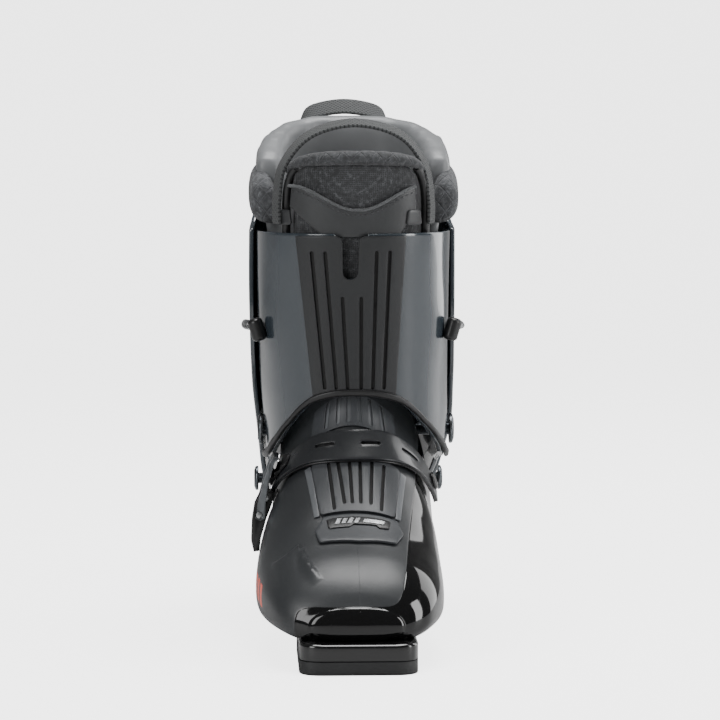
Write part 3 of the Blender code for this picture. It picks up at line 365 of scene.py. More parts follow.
def face_out(piece, merge=1e-6):
    """Welds the seams of a piece and turns its faces outwards."""
    edit(piece)
    bpy.ops.mesh.remove_doubles(threshold=merge)
    bpy.ops.mesh.select_all(action="SELECT")
    bpy.ops.mesh.normals_make_consistent(inside=False)
    leave()


def hand_over(piece, body, slot, finish, *nodes):
    """Gives a piece its finish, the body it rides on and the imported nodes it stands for."""
    piece.data.materials.clear()
    piece.data.materials.append(finish)
    for polygon in piece.data.polygons:
        polygon.material_index = 0
    if nodes:
        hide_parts(*nodes)
    if body:
        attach(piece, body)
    return piece


def lay_grid(name, columns, rows, place, weld=True):
    """A grid laid on a surface: place(across, along) gives a point for shares from 0 to 1."""
    deselect()
    bpy.ops.mesh.primitive_grid_add(x_subdivisions=columns, y_subdivisions=rows, size=2)
    piece = bpy.context.object
    piece.name = name
    for vertex in piece.data.vertices:
        vertex.co = place((vertex.co.x + 1) / 2, (vertex.co.y + 1) / 2) + SIDE_SHIFT
    if weld:
        face_out(piece)
    return piece


def cap_ends(piece):
    """Closes the open ends of a tube."""
    edit(piece)
    bpy.ops.mesh.select_all(action="DESELECT")
    bpy.ops.mesh.select_non_manifold()
    bpy.ops.mesh.fill_holes(sides=0)
    bpy.ops.mesh.select_all(action="SELECT")
    bpy.ops.mesh.normals_make_consistent(inside=False)
    leave()


def flat_slab(name, outline, low, high):
    """A flat slab of this outline between two heights."""
    deselect()
    bpy.ops.mesh.primitive_circle_add(vertices=len(outline), radius=0.01, fill_type="NGON")
    slab = bpy.context.object
    slab.name = name
    for vertex, (a, b) in zip(slab.data.vertices, outline):
        vertex.co = (a, b, low)
    edit(slab)
    bpy.ops.mesh.extrude_region_move(TRANSFORM_OT_translate={"value": (0, 0, high - low)})
    bpy.ops.mesh.select_all(action="SELECT")
    bpy.ops.mesh.normals_make_consistent(inside=False)
    leave()
    return slab


def cut_from(piece, cutter):
    """Takes the cutter's shape out of a piece and clears the cutter away."""
    modify(piece, "BOOLEAN", operation="DIFFERENCE", solver="EXACT", object=cutter)
    bpy.data.objects.remove(cutter, do_unlink=True)


def cut_plate(name, outline, thickness, rim, pitch, slots=(), depth=None, segments=2):
    """A flat plate of this outline with its slots cut, its rims rounded, and a fine grid on it."""
    plate = flat_slab(name, outline, 0, thickness)
    floor = -thickness if depth is None else thickness - depth
    for slot in slots:
        cut_from(plate, flat_slab(name + "_slot", slot, floor, 2 * thickness))
    if rim:
        round_rims(plate, rim, segments, 40)
    maps = plate.data.uv_layers
    layer = maps[0] if maps else maps.new(name="Flat")
    for loop in plate.data.loops:
        layer.data[loop.index].uv = plate.data.vertices[loop.vertex_index].co.xy
    for axis in (0, 1):
        low = min(vertex.co[axis] for vertex in plate.data.vertices)
        high = max(vertex.co[axis] for vertex in plate.data.vertices)
        direction = [0, 0, 0]
        direction[axis] = 1
        count = max(1, round((high - low) / pitch))
        edit(plate)
        for i in range(1, count):
            middle = [0, 0, 0]
            middle[axis] = low + (high - low) * i / count
            bpy.ops.mesh.select_all(action="SELECT")
            bpy.ops.mesh.bisect(plane_co=middle, plane_no=direction)
        leave()
    return plate


def wrap(plate, place, angle=35):
    """Bends a flat plate onto a form: place(a, b, height) gives each point."""
    for vertex in plate.data.vertices:
        vertex.co = place(*vertex.co) + SIDE_SHIFT
    face_out(plate, 1e-7)
    soften(plate, angle)
    return plate


def refined_copy(node, name, rim):
    """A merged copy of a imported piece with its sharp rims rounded."""
    source = frame["nodes"][node]
    piece = source.copy()
    piece.data = source.data.copy()
    piece.name = name
    piece.parent = None
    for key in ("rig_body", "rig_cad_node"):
        del piece[key]
    bpy.context.scene.collection.objects.link(piece)
    edit(piece)
    bpy.ops.mesh.remove_doubles(threshold=0.01 * MM)
    bpy.ops.mesh.select_all(action="SELECT")
    bpy.ops.mesh.dissolve_limited(angle_limit=math.radians(0.5))
    leave()
    if rim:
        round_rims(piece, rim)
    soften(piece, 30)
    return piece


def densify(points, pitch):
    """The same line with points no further apart than the pitch."""
    line = [Vector(points[0])]
    for before, after in zip(points, points[1:]):
        before, after = Vector(before), Vector(after)
        count = max(1, math.ceil((after - before).length / pitch))
        line += [before.lerp(after, i / count) for i in range(1, count + 1)]
    return line


def smooth_line(points, steps):
    """A smooth curve through given points, with `steps` points for each stretch."""
    table = [(i, *point) for i, point in enumerate(points)]
    return [Vector(smooth(table, i / steps)) for i in range((len(points) - 1) * steps + 1)]


def rounded(corners, radius, steps=4):
    """A closed outline with its corners rounded."""
    outline = []
    count = len(corners)
    for i, corner in enumerate(corners):
        corner = Vector(corner)
        before, after = Vector(corners[i - 1]), Vector(corners[(i + 1) % count])
        back, ahead = (before - corner), (after - corner)
        reach = min(radius, back.length * 0.45, ahead.length * 0.45)
        start = corner + back.normalized() * reach
        end = corner + ahead.normalized() * reach
        for k in range(steps + 1):
            t = k / steps
            outline.append(start * (1 - t) ** 2 + corner * 2 * t * (1 - t) + end * t * t)
    return [(point.x, point.y) for point in outline]


def rounded_oblong(left, right, low, high, radius, steps):
    corners = [(left, low), (right, low), (right, high), (left, high)]
    return rounded(corners, radius, steps)


def in_metres(points):
    """Flat points given in millimetres, in metres."""
    return [(a * MM, b * MM) for a, b in points]


def without_close_points(outline, gap):
    """The outline without the points that lie nearer than the gap to the one before."""
    kept = []
    for point in outline:
        if not kept or (Vector(point) - Vector(kept[-1])).length > gap:
            kept.append(point)
    return kept


def slot_outline(start, end, width):
    """A long slot with round ends."""
    start, end = Vector(start), Vector(end)
    along = (end - start).normalized()
    outline = []
    for middle, turn in ((end, -90), (start, 90)):
        for i in range(7):
            angle = math.radians(turn + 30 * i)
            side = Vector((-along.y, along.x)) * math.sin(angle)
            outline.append(middle + (along * math.cos(angle) + side) * width / 2)
    return [(point.x, point.y) for point in outline]


def band(name, line, wide, width, thickness):
    """A strip of webbing along a line; wide gives its broad direction at each point."""
    lengths = [0.0]
    for before, after in zip(line, line[1:]):
        lengths.append(lengths[-1] + (after - before).length)
    total = lengths[-1]
    outline = [(0, -width / 2), (total, -width / 2), (total, width / 2), (0, width / 2)]
    strip = cut_plate(name, outline, thickness, 0.5 * MM, 1.6 * MM)

    def place(a, b, height):
        i = 0
        while i < len(lengths) - 2 and a > lengths[i + 1]:
            i += 1
        share = (a - lengths[i]) / max(1e-9, lengths[i + 1] - lengths[i])
        point = line[i].lerp(line[i + 1], share)
        tangent = (line[i + 1] - line[i]).normalized()
        direction = wide(a / total, tangent)
        across = (direction - tangent * direction.dot(tangent)).normalized()
        normal = tangent.cross(across)
        return point + across * b + normal * (height - thickness / 2)

    return wrap(strip, place, 50)


def tube(name, line, radius, sides):
    """A round cord along a line. Its UV map runs along and round it."""
    total = sum((b - a).length for a, b in zip(line, line[1:]))
    rows = len(line) - 1
    rings = []
    upright = Vector((0.13, 0.21, 0.97))
    for i, point in enumerate(line):
        tangent = (line[min(rows, i + 1)] - line[max(0, i - 1)]).normalized()
        across = tangent.cross(upright).normalized()
        upright = across.cross(tangent).normalized()
        rings.append((point, across, upright.copy()))

    def place(around, along):
        point, across, up = rings[round(along * rows)]
        angle = 2 * math.pi * around
        swell = radius(along) if callable(radius) else radius
        return point + (across * math.cos(angle) + up * math.sin(angle)) * swell

    piece = lay_grid(name, sides, rows, place, weld=False)
    layer = piece.data.uv_layers[0]
    for loop in layer.data:
        loop.uv = (loop.uv.x, loop.uv.y * total)
    face_out(piece)
    cap_ends(piece)
    soften(piece, 50)
    return piece


def row_of(name, pattern, places):
    """Copies of one small piece at these places, joined; each place is a matrix."""
    copies = []
    for place in places:
        copy = pattern.copy()
        copy.data = pattern.data.copy()
        copy.data.transform(Matrix.Translation(SIDE_SHIFT) @ place)
        bpy.context.scene.collection.objects.link(copy)
        copies.append(copy)
    bpy.data.objects.remove(pattern, do_unlink=True)
    take(copies[0])
    for copy in copies:
        copy.select_set(True)
    bpy.ops.object.join()
    row = bpy.context.object
    row.name = name
    return row


def swell(piece, loft, voxel):
    """Lets a padded piece swell like cloth over its filling, no further than its loft."""
    modify(piece, "REMESH", mode="VOXEL", voxel_size=voxel, use_smooth_shade=True)
    rest = [vertex.co.copy() for vertex in piece.data.vertices]
    take(piece)
    cloth = piece.modifiers.new("Cloth", "CLOTH")
    cloth.settings.use_pressure = True
    cloth.settings.uniform_pressure_force = CLOTH_PRESSURE
    cloth.settings.effector_weights.gravity = 0
    scene = bpy.context.scene
    for number in range(1, CLOTH_FRAMES + 1):
        scene.frame_set(number)
    bpy.ops.object.modifier_apply(modifier=cloth.name)
    scene.frame_set(1)
    for vertex, start in zip(piece.data.vertices, rest):
        move = vertex.co - start
        if move.length > loft:
            vertex.co = start + move * (loft / move.length)
    modify(piece, "SMOOTH", factor=0.5, iterations=14)
    modify(piece, "SUBSURF", levels=1, render_levels=1)
    soften(piece, 60)
    return piece


# ---------------------------------------------------------------- shared effects of the finishes


def effect(name, inputs, outputs):
    """An empty shader group with these named sockets."""
    tree = bpy.data.node_groups.new(name, "ShaderNodeTree")
    for label, kind, default in inputs:
        socket = tree.interface.new_socket(name=label, in_out="INPUT", socket_type=kind)
        if default is not None:
            socket.default_value = default
    for label, kind in outputs:
        tree.interface.new_socket(name=label, in_out="OUTPUT", socket_type=kind)
    return tree, tree.nodes.new("NodeGroupInput"), tree.nodes.new("NodeGroupOutput")


def kept_in(store, name=None):
    """Makes an effect or a finish once and hands it back after that, by its name."""

    def keep(make):
        def find_or_make(*values, **settings):
            found = getattr(bpy.data, store).get(name or values[0])
            return found or make(*values, **settings)

        return find_or_make

    return keep


def give(tree, node, values):
    """Sets a node's own inputs, or links them where the value is another node's socket."""
    for key, value in values.items():
        if isinstance(value, bpy.types.NodeSocket):
            tree.links.new(value, node.inputs[key])
        else:
            node.inputs[key].default_value = value
    return node


def add(tree, kind, values=None, **settings):
    """A node with its settings, and its inputs set or linked by name or number."""
    node = tree.nodes.new(kind)
    for name, value in settings.items():
        setattr(node, name, value)
    return give(tree, node, values or {})


def calculate(tree, operation, a, b=0.0, c=0.0, clamp=False):
    node = add(tree, "ShaderNodeMath", {0: a, 1: b, 2: c}, operation=operation, use_clamp=clamp)
    return node.outputs[0]


def noise(tree, vector, scale, detail, roughness=0.5):
    values = {"Vector": vector, "Scale": scale, "Detail": detail, "Roughness": roughness}
    return add(tree, "ShaderNodeTexNoise", values).outputs[0]


def ramp_between(tree, value, low, high):
    """0 below low, 1 above high, with a soft step between them."""
    values = {"Value": value, "From Min": low, "From Max": high}
    node = add(tree, "ShaderNodeMapRange", values, interpolation_type="SMOOTHSTEP")
    return node.outputs[0]


@kept_in("node_groups", "Moulded grain")
def moulded_grain():
    """Fine leathery grain of moulded plastic, with a broad mottle."""
    tree, into, out = effect(
        "Moulded grain",
        [("Vector", "NodeSocketVector", None), ("Fineness", "NodeSocketFloat", 1400.0)],
        [("Height", "NodeSocketFloat"), ("Mottle", "NodeSocketFloat")],
    )
    fine = noise(tree, into.outputs[0], into.outputs[1], 3.0, 0.6)
    broad_scale = calculate(tree, "MULTIPLY", into.outputs[1], 0.03)
    broad = noise(tree, into.outputs[0], broad_scale, 4.0, 0.55)
    give(tree, out, {0: fine, 1: broad})
    return tree


@kept_in("node_groups", "Edge wear")
def edge_wear():
    """Mask of the rims that rubbing has polished or scuffed."""
    tree, into, out = effect(
        "Edge wear",
        [("Vector", "NodeSocketVector", None), ("Amount", "NodeSocketFloat", 0.5)],
        [("Mask", "NodeSocketFloat")],
    )
    shape = add(tree, "ShaderNodeNewGeometry")
    rim = ramp_between(tree, shape.outputs["Pointiness"], 0.53, 0.62)
    broken = ramp_between(tree, noise(tree, into.outputs[0], 160.0, 5.0), 0.42, 0.62)
    worn = calculate(tree, "MULTIPLY", rim, broken)
    amount = calculate(tree, "MULTIPLY", worn, into.outputs[1])
    tree.links.new(amount, out.inputs[0])
    return tree


@kept_in("node_groups", "Fine scratches")
def fine_scratches():
    """Mask of thin hairline scratches in two directions."""
    tree, into, out = effect(
        "Fine scratches",
        [("Vector", "NodeSocketVector", None), ("Amount", "NodeSocketFloat", 0.3)],
        [("Mask", "NodeSocketFloat")],
    )
    masks = []
    for turn, stretch in ((0.5, (30, 900, 60)), (-0.8, (800, 40, 70))):
        values = {"Vector": into.outputs[0], "Rotation": (0.3, turn, turn), "Scale": stretch}
        mapped = add(tree, "ShaderNodeMapping", values)
        hairs = noise(tree, mapped.outputs[0], 1.0, 1.0)
        masks.append(ramp_between(tree, hairs, 0.70, 0.76))
    both = calculate(tree, "MAXIMUM", masks[0], masks[1])
    tree.links.new(calculate(tree, "MULTIPLY", both, into.outputs[1]), out.inputs[0])
    return tree


@kept_in("node_groups", "Thread weave")
def thread_weave():
    """Diagonal twill: threads at a pitch in metres, on a map in metres."""
    tree, into, out = effect(
        "Thread weave",
        [("Vector", "NodeSocketVector", None), ("Pitch", "NodeSocketFloat", 0.0015)],
        [("Height", "NodeSocketFloat")],
    )
    parts = add(tree, "ShaderNodeSeparateXYZ", {0: into.outputs[0]})
    waves = []
    for direction in (1.0, -1.0):
        lean = calculate(tree, "MULTIPLY_ADD", parts.outputs[1], direction, parts.outputs[0])
        turns = calculate(tree, "DIVIDE", lean, into.outputs[1])
        wave = calculate(tree, "SINE", calculate(tree, "MULTIPLY", turns, 2 * math.pi))
        waves.append(wave)
    over = calculate(tree, "MAXIMUM", waves[0], waves[1])
    height = calculate(tree, "MULTIPLY_ADD", over, 0.5, 0.5)
    tree.links.new(height, out.inputs[0])
    return tree


@kept_in("node_groups", "Knitted cells")
def knitted_cells():
    """Small knitted cells with bright yarn between them, as on spacer mesh."""
    tree, into, out = effect(
        "Knitted cells",
        [("Vector", "NodeSocketVector", None), ("Fineness", "NodeSocketFloat", 700.0)],
        [("Height", "NodeSocketFloat"), ("Yarn", "NodeSocketFloat")],
    )
    cells = add(
        tree,
        "ShaderNodeTexVoronoi",
        {"Vector": into.outputs[0], "Scale": into.outputs[1], "Randomness": 0.35},
        feature="DISTANCE_TO_EDGE",
    )
    yarn = ramp_between(tree, cells.outputs[0], 0.16, 0.03)
    spots = ramp_between(tree, noise(tree, into.outputs[0], 380.0, 3.0), 0.28, 0.72)
    lit = calculate(tree, "MULTIPLY", yarn, spots)
    give(tree, out, {0: cells.outputs[0], 1: lit})
    return tree


@kept_in("node_groups", "Quilt lines")
def quilt_lines():
    """Thin zigzag lines of quilting."""
    tree, into, out = effect(
        "Quilt lines",
        [("Vector", "NodeSocketVector", None), ("Pitch", "NodeSocketFloat", 0.009)],
        [("Line", "NodeSocketFloat")],
    )
    parts = add(tree, "ShaderNodeSeparateXYZ", {0: into.outputs[0]})
    lines = []
    for direction in (0.8, -0.8):
        lean = calculate(tree, "MULTIPLY_ADD", parts.outputs[2], direction, parts.outputs[0])
        lean = calculate(tree, "MULTIPLY_ADD", parts.outputs[1], 0.6 * direction, lean)
        turns = calculate(tree, "DIVIDE", lean, into.outputs[1])
        place = calculate(tree, "PINGPONG", turns, 0.5)
        lines.append(ramp_between(tree, place, 0.07, 0.02))
    tree.links.new(calculate(tree, "MAXIMUM", lines[0], lines[1]), out.inputs[0])
    return tree


# ---------------------------------------------------------------- finishes


def blank(name):
    """A new finish, its nodes, its shader and its object coordinates."""
    finish = bpy.data.materials.new(name)
    finish.use_nodes = True
    tree = finish.node_tree
    shader = tree.nodes["Principled BSDF"]
    place = add(tree, "ShaderNodeTexCoord").outputs["Object"]
    return finish, tree, shader, place


def mixed(tree, share, first, second):
    """Colour between two colours; a colour is a tuple or a socket."""
    ends = [(*colour, 1) if isinstance(colour, tuple) else colour for colour in (first, second)]
    node = add(tree, "ShaderNodeMix", {0: share, 6: ends[0], 7: ends[1]}, data_type="RGBA")
    return node.outputs[2]


def placed(tree, group, **links):
    """A shared effect set into a finish."""
    return add(tree, "ShaderNodeGroup", links, node_tree=group)


def bumped(tree, shader, height, strength, distance):
    values = {"Height": height, "Strength": strength, "Distance": distance}
    give(tree, shader, {"Normal": add(tree, "ShaderNodeBump", values).outputs[0]})


def lighter(colour, by):
    return tuple(min(1.0, channel * by) for channel in colour)


@kept_in("materials")
def moulded_plastic(name, colour, roughness, fineness=1400.0, strength=0.25, coat=0.0, wear=0.35):
    """Moulded plastic with grain, mottled gloss, faint scratches and rubbed rims."""
    finish, tree, shader, place = blank(name)
    grain = placed(tree, moulded_grain(), Vector=place, Fineness=fineness)
    worn = placed(tree, edge_wear(), Vector=place, Amount=wear)
    scratch = placed(tree, fine_scratches(), Vector=place, Amount=0.35)
    base = mixed(tree, grain.outputs["Mottle"], lighter(colour, 0.88), lighter(colour, 1.12))
    rubbed = mixed(tree, worn.outputs[0], base, lighter(colour, 2.6))
    mottle = calculate(tree, "MULTIPLY_ADD", grain.outputs["Mottle"], 0.16, roughness - 0.08)
    rough = calculate(tree, "MULTIPLY_ADD", scratch.outputs[0], 0.3, mottle, clamp=True)
    bumped(tree, shader, grain.outputs["Height"], strength, 0.00012)
    give(tree, shader, {"Base Color": rubbed, "Roughness": rough})
    give(tree, shader, {"Coat Weight": coat, "Coat Roughness": 0.06})
    return finish


@kept_in("materials", "Two-finish shell")
def shell_plastic():
    """Lower shell: matte grained top and outer side, glossy front and inner side, and graphic."""
    finish, tree, shader, place = blank("Two-finish shell")
    parts = add(tree, "ShaderNodeSeparateXYZ", {0: place})
    x, y, z = parts.outputs[:3]
    grain = placed(tree, moulded_grain(), Vector=place, Fineness=1500.0)
    worn = placed(tree, edge_wear(), Vector=place, Amount=0.25)
    scratch = placed(tree, fine_scratches(), Vector=place, Amount=0.3)
    inner_line = calculate(tree, "MULTIPLY_ADD", z, 0.245, 0.0111)
    inner = calculate(tree, "SUBTRACT", x, inner_line)
    front = calculate(tree, "SUBTRACT", 0.0375, z)
    outer_end = calculate(tree, "ADD", x, 0.041)
    front = calculate(tree, "SMOOTH_MIN", front, outer_end, 0.014)
    edge = calculate(tree, "SMOOTH_MAX", inner, front, 0.012)
    gloss = ramp_between(tree, edge, -0.00015, 0.00015)
    seam = calculate(tree, "ABSOLUTE", edge)
    seam = ramp_between(tree, seam, 0.0007, 0.0001)
    parting = calculate(tree, "ABSOLUTE", calculate(tree, "ADD", x, 0.0032))
    parting = ramp_between(tree, parting, 0.0003, 0.0001)
    line = calculate(tree, "MAXIMUM", seam, calculate(tree, "MULTIPLY", parting, 0.5))
    colour = colours()
    shell = colour.shell
    matte = mixed(tree, grain.outputs["Mottle"], lighter(shell, 0.9), lighter(shell, 1.1))
    matte = mixed(tree, worn.outputs[0], matte, lighter(shell, 2.2))
    both = mixed(tree, gloss, matte, tuple(colour.gloss))
    mark = slanted_graphic(tree, x, y, z)
    both = mixed(tree, mark, both, tuple(colour.accent))
    matte_rough = calculate(tree, "MULTIPLY_ADD", grain.outputs["Mottle"], 0.14, 0.33)
    gloss_rough = calculate(tree, "MULTIPLY_ADD", scratch.outputs[0], 0.35, 0.07)
    roughs = {0: gloss, 2: matte_rough, 3: gloss_rough}
    rough = add(tree, "ShaderNodeMix", roughs, data_type="FLOAT")
    give(tree, shader, {"Base Color": both, "Roughness": rough.outputs[0]})
    matte_share = calculate(tree, "SUBTRACT", 1.0, gloss)
    height = calculate(tree, "MULTIPLY", grain.outputs["Height"], matte_share)
    height = calculate(tree, "MULTIPLY_ADD", line, -2.2, height)
    bumped(tree, shader, height, 0.3, 0.00015)
    return finish


def slanted_graphic(tree, x, y, z):
    """Mask of a row of slanted bars, low on the outer side of the toe."""
    outer = calculate(tree, "LESS_THAN", x, -0.040)
    lean = calculate(tree, "MULTIPLY_ADD", z, -0.55, y)
    start = calculate(tree, "GREATER_THAN", lean, -0.118)
    end = calculate(tree, "LESS_THAN", lean, -0.052)
    low_edge = calculate(tree, "MULTIPLY_ADD", y, 0.10, 0.0405)
    high_edge = calculate(tree, "MULTIPLY_ADD", y, 0.10, 0.0520)
    above = calculate(tree, "GREATER_THAN", z, low_edge)
    below = calculate(tree, "LESS_THAN", z, high_edge)
    turns = calculate(tree, "DIVIDE", lean, 0.011)
    bars = calculate(tree, "GREATER_THAN", calculate(tree, "FRACT", turns), 0.32)
    mask = outer
    for other in (start, end, above, below, bars):
        mask = calculate(tree, "MULTIPLY", mask, other)
    return mask


@kept_in("materials", "Slate cuff plastic")
def slate_plastic():
    """Glossy slate plastic of the cuffs, slightly clear, with broad colour drift."""
    finish, tree, shader, place = blank("Slate cuff plastic")
    colour = colours().cuff
    grain = placed(tree, moulded_grain(), Vector=place, Fineness=900.0)
    scratch = placed(tree, fine_scratches(), Vector=place, Amount=0.15)
    worn = placed(tree, edge_wear(), Vector=place, Amount=0.4)
    base = mixed(tree, grain.outputs["Mottle"], lighter(colour, 0.92), lighter(colour, 1.1))
    edge = mixed(tree, worn.outputs[0], base, (0.10, 0.12, 0.14))
    rough = calculate(tree, "MULTIPLY_ADD", grain.outputs["Mottle"], 0.08, 0.14)
    rough = calculate(tree, "MULTIPLY_ADD", scratch.outputs[0], 0.25, rough, clamp=True)
    bumped(tree, shader, grain.outputs["Mottle"], 0.06, 0.0006)
    give(tree, shader, {"Base Color": edge, "Roughness": rough})
    give(tree, shader, {"Coat Weight": 0.7, "Coat Roughness": 0.04})
    give(tree, shader, {"Subsurface Weight": 0.08, "Subsurface Radius": (0.004, 0.005, 0.006)})
    return finish


@kept_in("materials")
def soft_rubber(name, colour, roughness=0.62):
    """Rubber with a dusty, finely pitted skin."""
    finish, tree, shader, place = blank(name)
    grain = placed(tree, moulded_grain(), Vector=place, Fineness=2200.0)
    worn = placed(tree, edge_wear(), Vector=place, Amount=0.7)
    dust = ramp_between(tree, grain.outputs["Mottle"], 0.5, 0.75)
    dust = calculate(tree, "MULTIPLY", dust, 0.3)
    base = mixed(tree, dust, tuple(colour), lighter(colour, 2.2))
    rubbed = mixed(tree, worn.outputs[0], base, lighter(colour, 3.2))
    rough = calculate(tree, "MULTIPLY_ADD", grain.outputs["Mottle"], 0.2, roughness - 0.1)
    give(tree, shader, {"Base Color": rubbed, "Roughness": rough})
    bumped(tree, shader, grain.outputs["Height"], 0.45, 0.0002)
    return finish


@kept_in("materials")
def brushed_alloy(name, colour, roughness=0.28):
    """Alloy with a brushed finish and rims rubbed bright."""
    finish, tree, shader, place = blank(name)
    stretched = add(tree, "ShaderNodeMapping", {"Vector": place, "Scale": (400, 4000, 250)})
    brush = noise(tree, stretched.outputs[0], 1.0, 2.0)
    worn = placed(tree, edge_wear(), Vector=place, Amount=0.6)
    base = mixed(tree, brush, lighter(colour, 0.8), lighter(colour, 1.15))
    bright = mixed(tree, worn.outputs[0], base, (0.75, 0.76, 0.77))
    rough = calculate(tree, "MULTIPLY_ADD", brush, 0.2, roughness - 0.1)
    bumped(tree, shader, brush, 0.2, 0.00006)
    give(tree, shader, {"Base Color": bright, "Roughness": rough, "Metallic": 1.0})
    return finish


@kept_in("materials")
def smooth_foam(name, colour, roughness=0.42):
    """Smooth skinned padding: satin, with soft creases and a faint grain."""
    finish, tree, shader, place = blank(name)
    grain = placed(tree, moulded_grain(), Vector=place, Fineness=1800.0)
    folds = noise(tree, place, 28.0, 2.0)
    base = mixed(tree, grain.outputs["Mottle"], lighter(colour, 0.9), lighter(colour, 1.1))
    rough = calculate(tree, "MULTIPLY_ADD", grain.outputs["Mottle"], 0.14, roughness - 0.07)
    height = calculate(tree, "MULTIPLY_ADD", folds, 5.0, grain.outputs["Height"])
    bumped(tree, shader, height, 0.25, 0.0003)
    give(tree, shader, {"Base Color": base, "Roughness": rough})
    give(tree, shader, {"Sheen Weight": 0.05, "Sheen Roughness": 0.4})
    return finish


@kept_in("materials")
def knit(name, colour, quilted=False, fineness=700.0):
    """Knitted liner fabric, quilted or as open mesh."""
    finish, tree, shader, place = blank(name)
    cells = placed(tree, knitted_cells(), Vector=place, Fineness=fineness)
    fuzz = noise(tree, place, 120.0, 6.0, 0.7)
    base = mixed(tree, fuzz, lighter(colour, 0.6), lighter(colour, 1.5))
    base = mixed(tree, cells.outputs["Yarn"], base, lighter(colour, 4.4))
    height = calculate(tree, "MULTIPLY_ADD", fuzz, 0.8, cells.outputs["Height"])
    if quilted:
        lines = placed(tree, quilt_lines(), Vector=place, Pitch=0.010)
        soft = calculate(tree, "MULTIPLY", lines.outputs[0], 0.45)
        base = mixed(tree, soft, base, lighter(colour, 2.2))
        height = calculate(tree, "MULTIPLY_ADD", lines.outputs[0], -1.2, height)
    give(tree, shader, {"Base Color": base, "Roughness": 0.85})
    give(tree, shader, {"Sheen Weight": 0.08, "Sheen Roughness": 0.5})
    bumped(tree, shader, height, 0.7, 0.0005)
    return finish


@kept_in("materials")
def woven(name, colour, pitch):
    """Webbing with diagonal threads on the piece's own map; painted shade in the grooves and
    painted highlight on the thread tops.
    """
    finish, tree, shader, place = blank(name)
    own_map = add(tree, "ShaderNodeTexCoord").outputs["UV"]
    threads = placed(tree, thread_weave(), Vector=own_map, Pitch=pitch)
    fuzz = calculate(tree, "MULTIPLY", noise(tree, place, 900.0, 3.0), 0.35)
    # Colour follows the thread height: painted shade in the grooves, painted highlight on the tops.
    base = mixed(tree, threads.outputs["Height"], lighter(colour, 0.2), lighter(colour, 2.6))
    base = mixed(tree, fuzz, base, lighter(colour, 0.5))
    give(tree, shader, {"Base Color": base, "Roughness": 0.8, "Sheen Weight": 0.06})
    bumped(tree, shader, threads.outputs["Height"], 0.8, 0.0006)
    return finish


@kept_in("materials")
def wire_rope(name, colour):
    """Steel cable with wound strands on its own map, with painted shade in the grooves between
    strands.
    """
    finish, tree, shader, _ = blank(name)
    own_map = add(tree, "ShaderNodeTexCoord").outputs["UV"]
    parts = add(tree, "ShaderNodeSeparateXYZ", {0: own_map})
    along = calculate(tree, "MULTIPLY", parts.outputs[1], 220.0)
    turns = calculate(tree, "MULTIPLY_ADD", parts.outputs[0], 6.0, along)
    strand = calculate(tree, "SINE", calculate(tree, "MULTIPLY", turns, 2 * math.pi))
    height = calculate(tree, "MULTIPLY_ADD", strand, 0.5, 0.5)
    # Colour follows the strand height: painted shade in the grooves between strands.
    base = mixed(tree, height, lighter(colour, 0.25), lighter(colour, 1.2))
    give(tree, shader, {"Base Color": base, "Roughness": 0.35, "Metallic": 1.0})
    bumped(tree, shader, height, 0.8, 0.0003)
    return finish


def matte_panel():
    return moulded_plastic("Ribbed panel plastic", tuple(colours().panel), 0.45, 1500.0, 0.3)


def black_part():
    black = tuple(colours().black)
    return moulded_plastic("Black part plastic", black, 0.34, 1700.0, 0.2, wear=0.5)


# Finish of the groove floors: near-black, painted shade inside the grooves.
def groove_shade_black():
    return moulded_plastic("Groove floor plastic", GROOVE_SHADE_DARK, 0.7, 1500.0, 0.1, wear=0.0)


def plain_alloy():
    return brushed_alloy("Brushed alloy", tuple(colours().alloy))


# ---------------------------------------------------------------- lower half


def chevron_rise(point):
    """Height of the raised chevron on the outer side of the toe: steep above, sloping below."""
    apex = Vector((-32.9, 64.7))
    here = Vector((point.x, point.z)) / MM
    rise = 0.0
    for end in (Vector((-49.5, 54.0)), Vector((-21.5, 51.5))):
        run = end - apex
        share = (here - apex).dot(run) / run.length_squared
        if not -0.04 < share < 1:
            continue
        upward = Vector((-run.y, run.x)).normalized()
        if upward.y < 0:
            upward = -upward
        away = (here - apex).dot(upward)
        profile = math.exp(-((away / (0.8 if away > 0 else 4.2)) ** 2))
        rise = max(rise, (1 - max(0.0, share)) ** 0.6 * profile)
    return 2.8 * MM * rise


def make_shell():
    around = 208
    toe_end, nose_steps, toe_steps, heel_steps, inner_steps = 5, 7, 28, 12, 6
    nose = [("nose", i / nose_steps) for i in range(nose_steps)]
    outside = [("outside", i / toe_steps) for i in range(toe_steps * toe_end)]
    outside += [
        ("outside", i / heel_steps) for i in range(heel_steps * toe_end, heel_steps * COLLAR + 1)
    ]
    inside = [("inside", COLLAR - i / inner_steps) for i in range(inner_steps * COLLAR - 7)]
    stations = nose + outside + inside
    sections = {
        (kind, value): shell_section(0.0 if kind == "nose" else value) for kind, value in stations
    }

    def place(share_around, share_along):
        kind, value = stations[round(share_along * (len(stations) - 1))]
        angle = 2 * math.pi * round(share_around * around) / around
        section = sections[kind, value]
        if kind == "inside":
            return section_point(section, angle, SHELL_WALL, SHELL_FLOOR, SHELL_WALL)
        point = section_point(section, angle)
        if kind == "nose":
            middle = section[1]
            grown = math.sin(value * math.pi / 2)
            ahead = Vector((0, -4.5 * MM * math.cos(value * math.pi / 2), 0))
            return middle + (point - middle) * grown + ahead
        if 1 < value < 5 and point.x < -15 * MM and math.cos(angle) > 0:
            point = point + shell_normal(value, angle) * chevron_rise(point)
        return point

    shell = lay_grid("boot_shell", around, len(stations) - 1, place)
    cap_ends(shell)
    soften(shell, 40)
    return hand_over(shell, "root", "shell", shell_plastic(), "lower_shell")


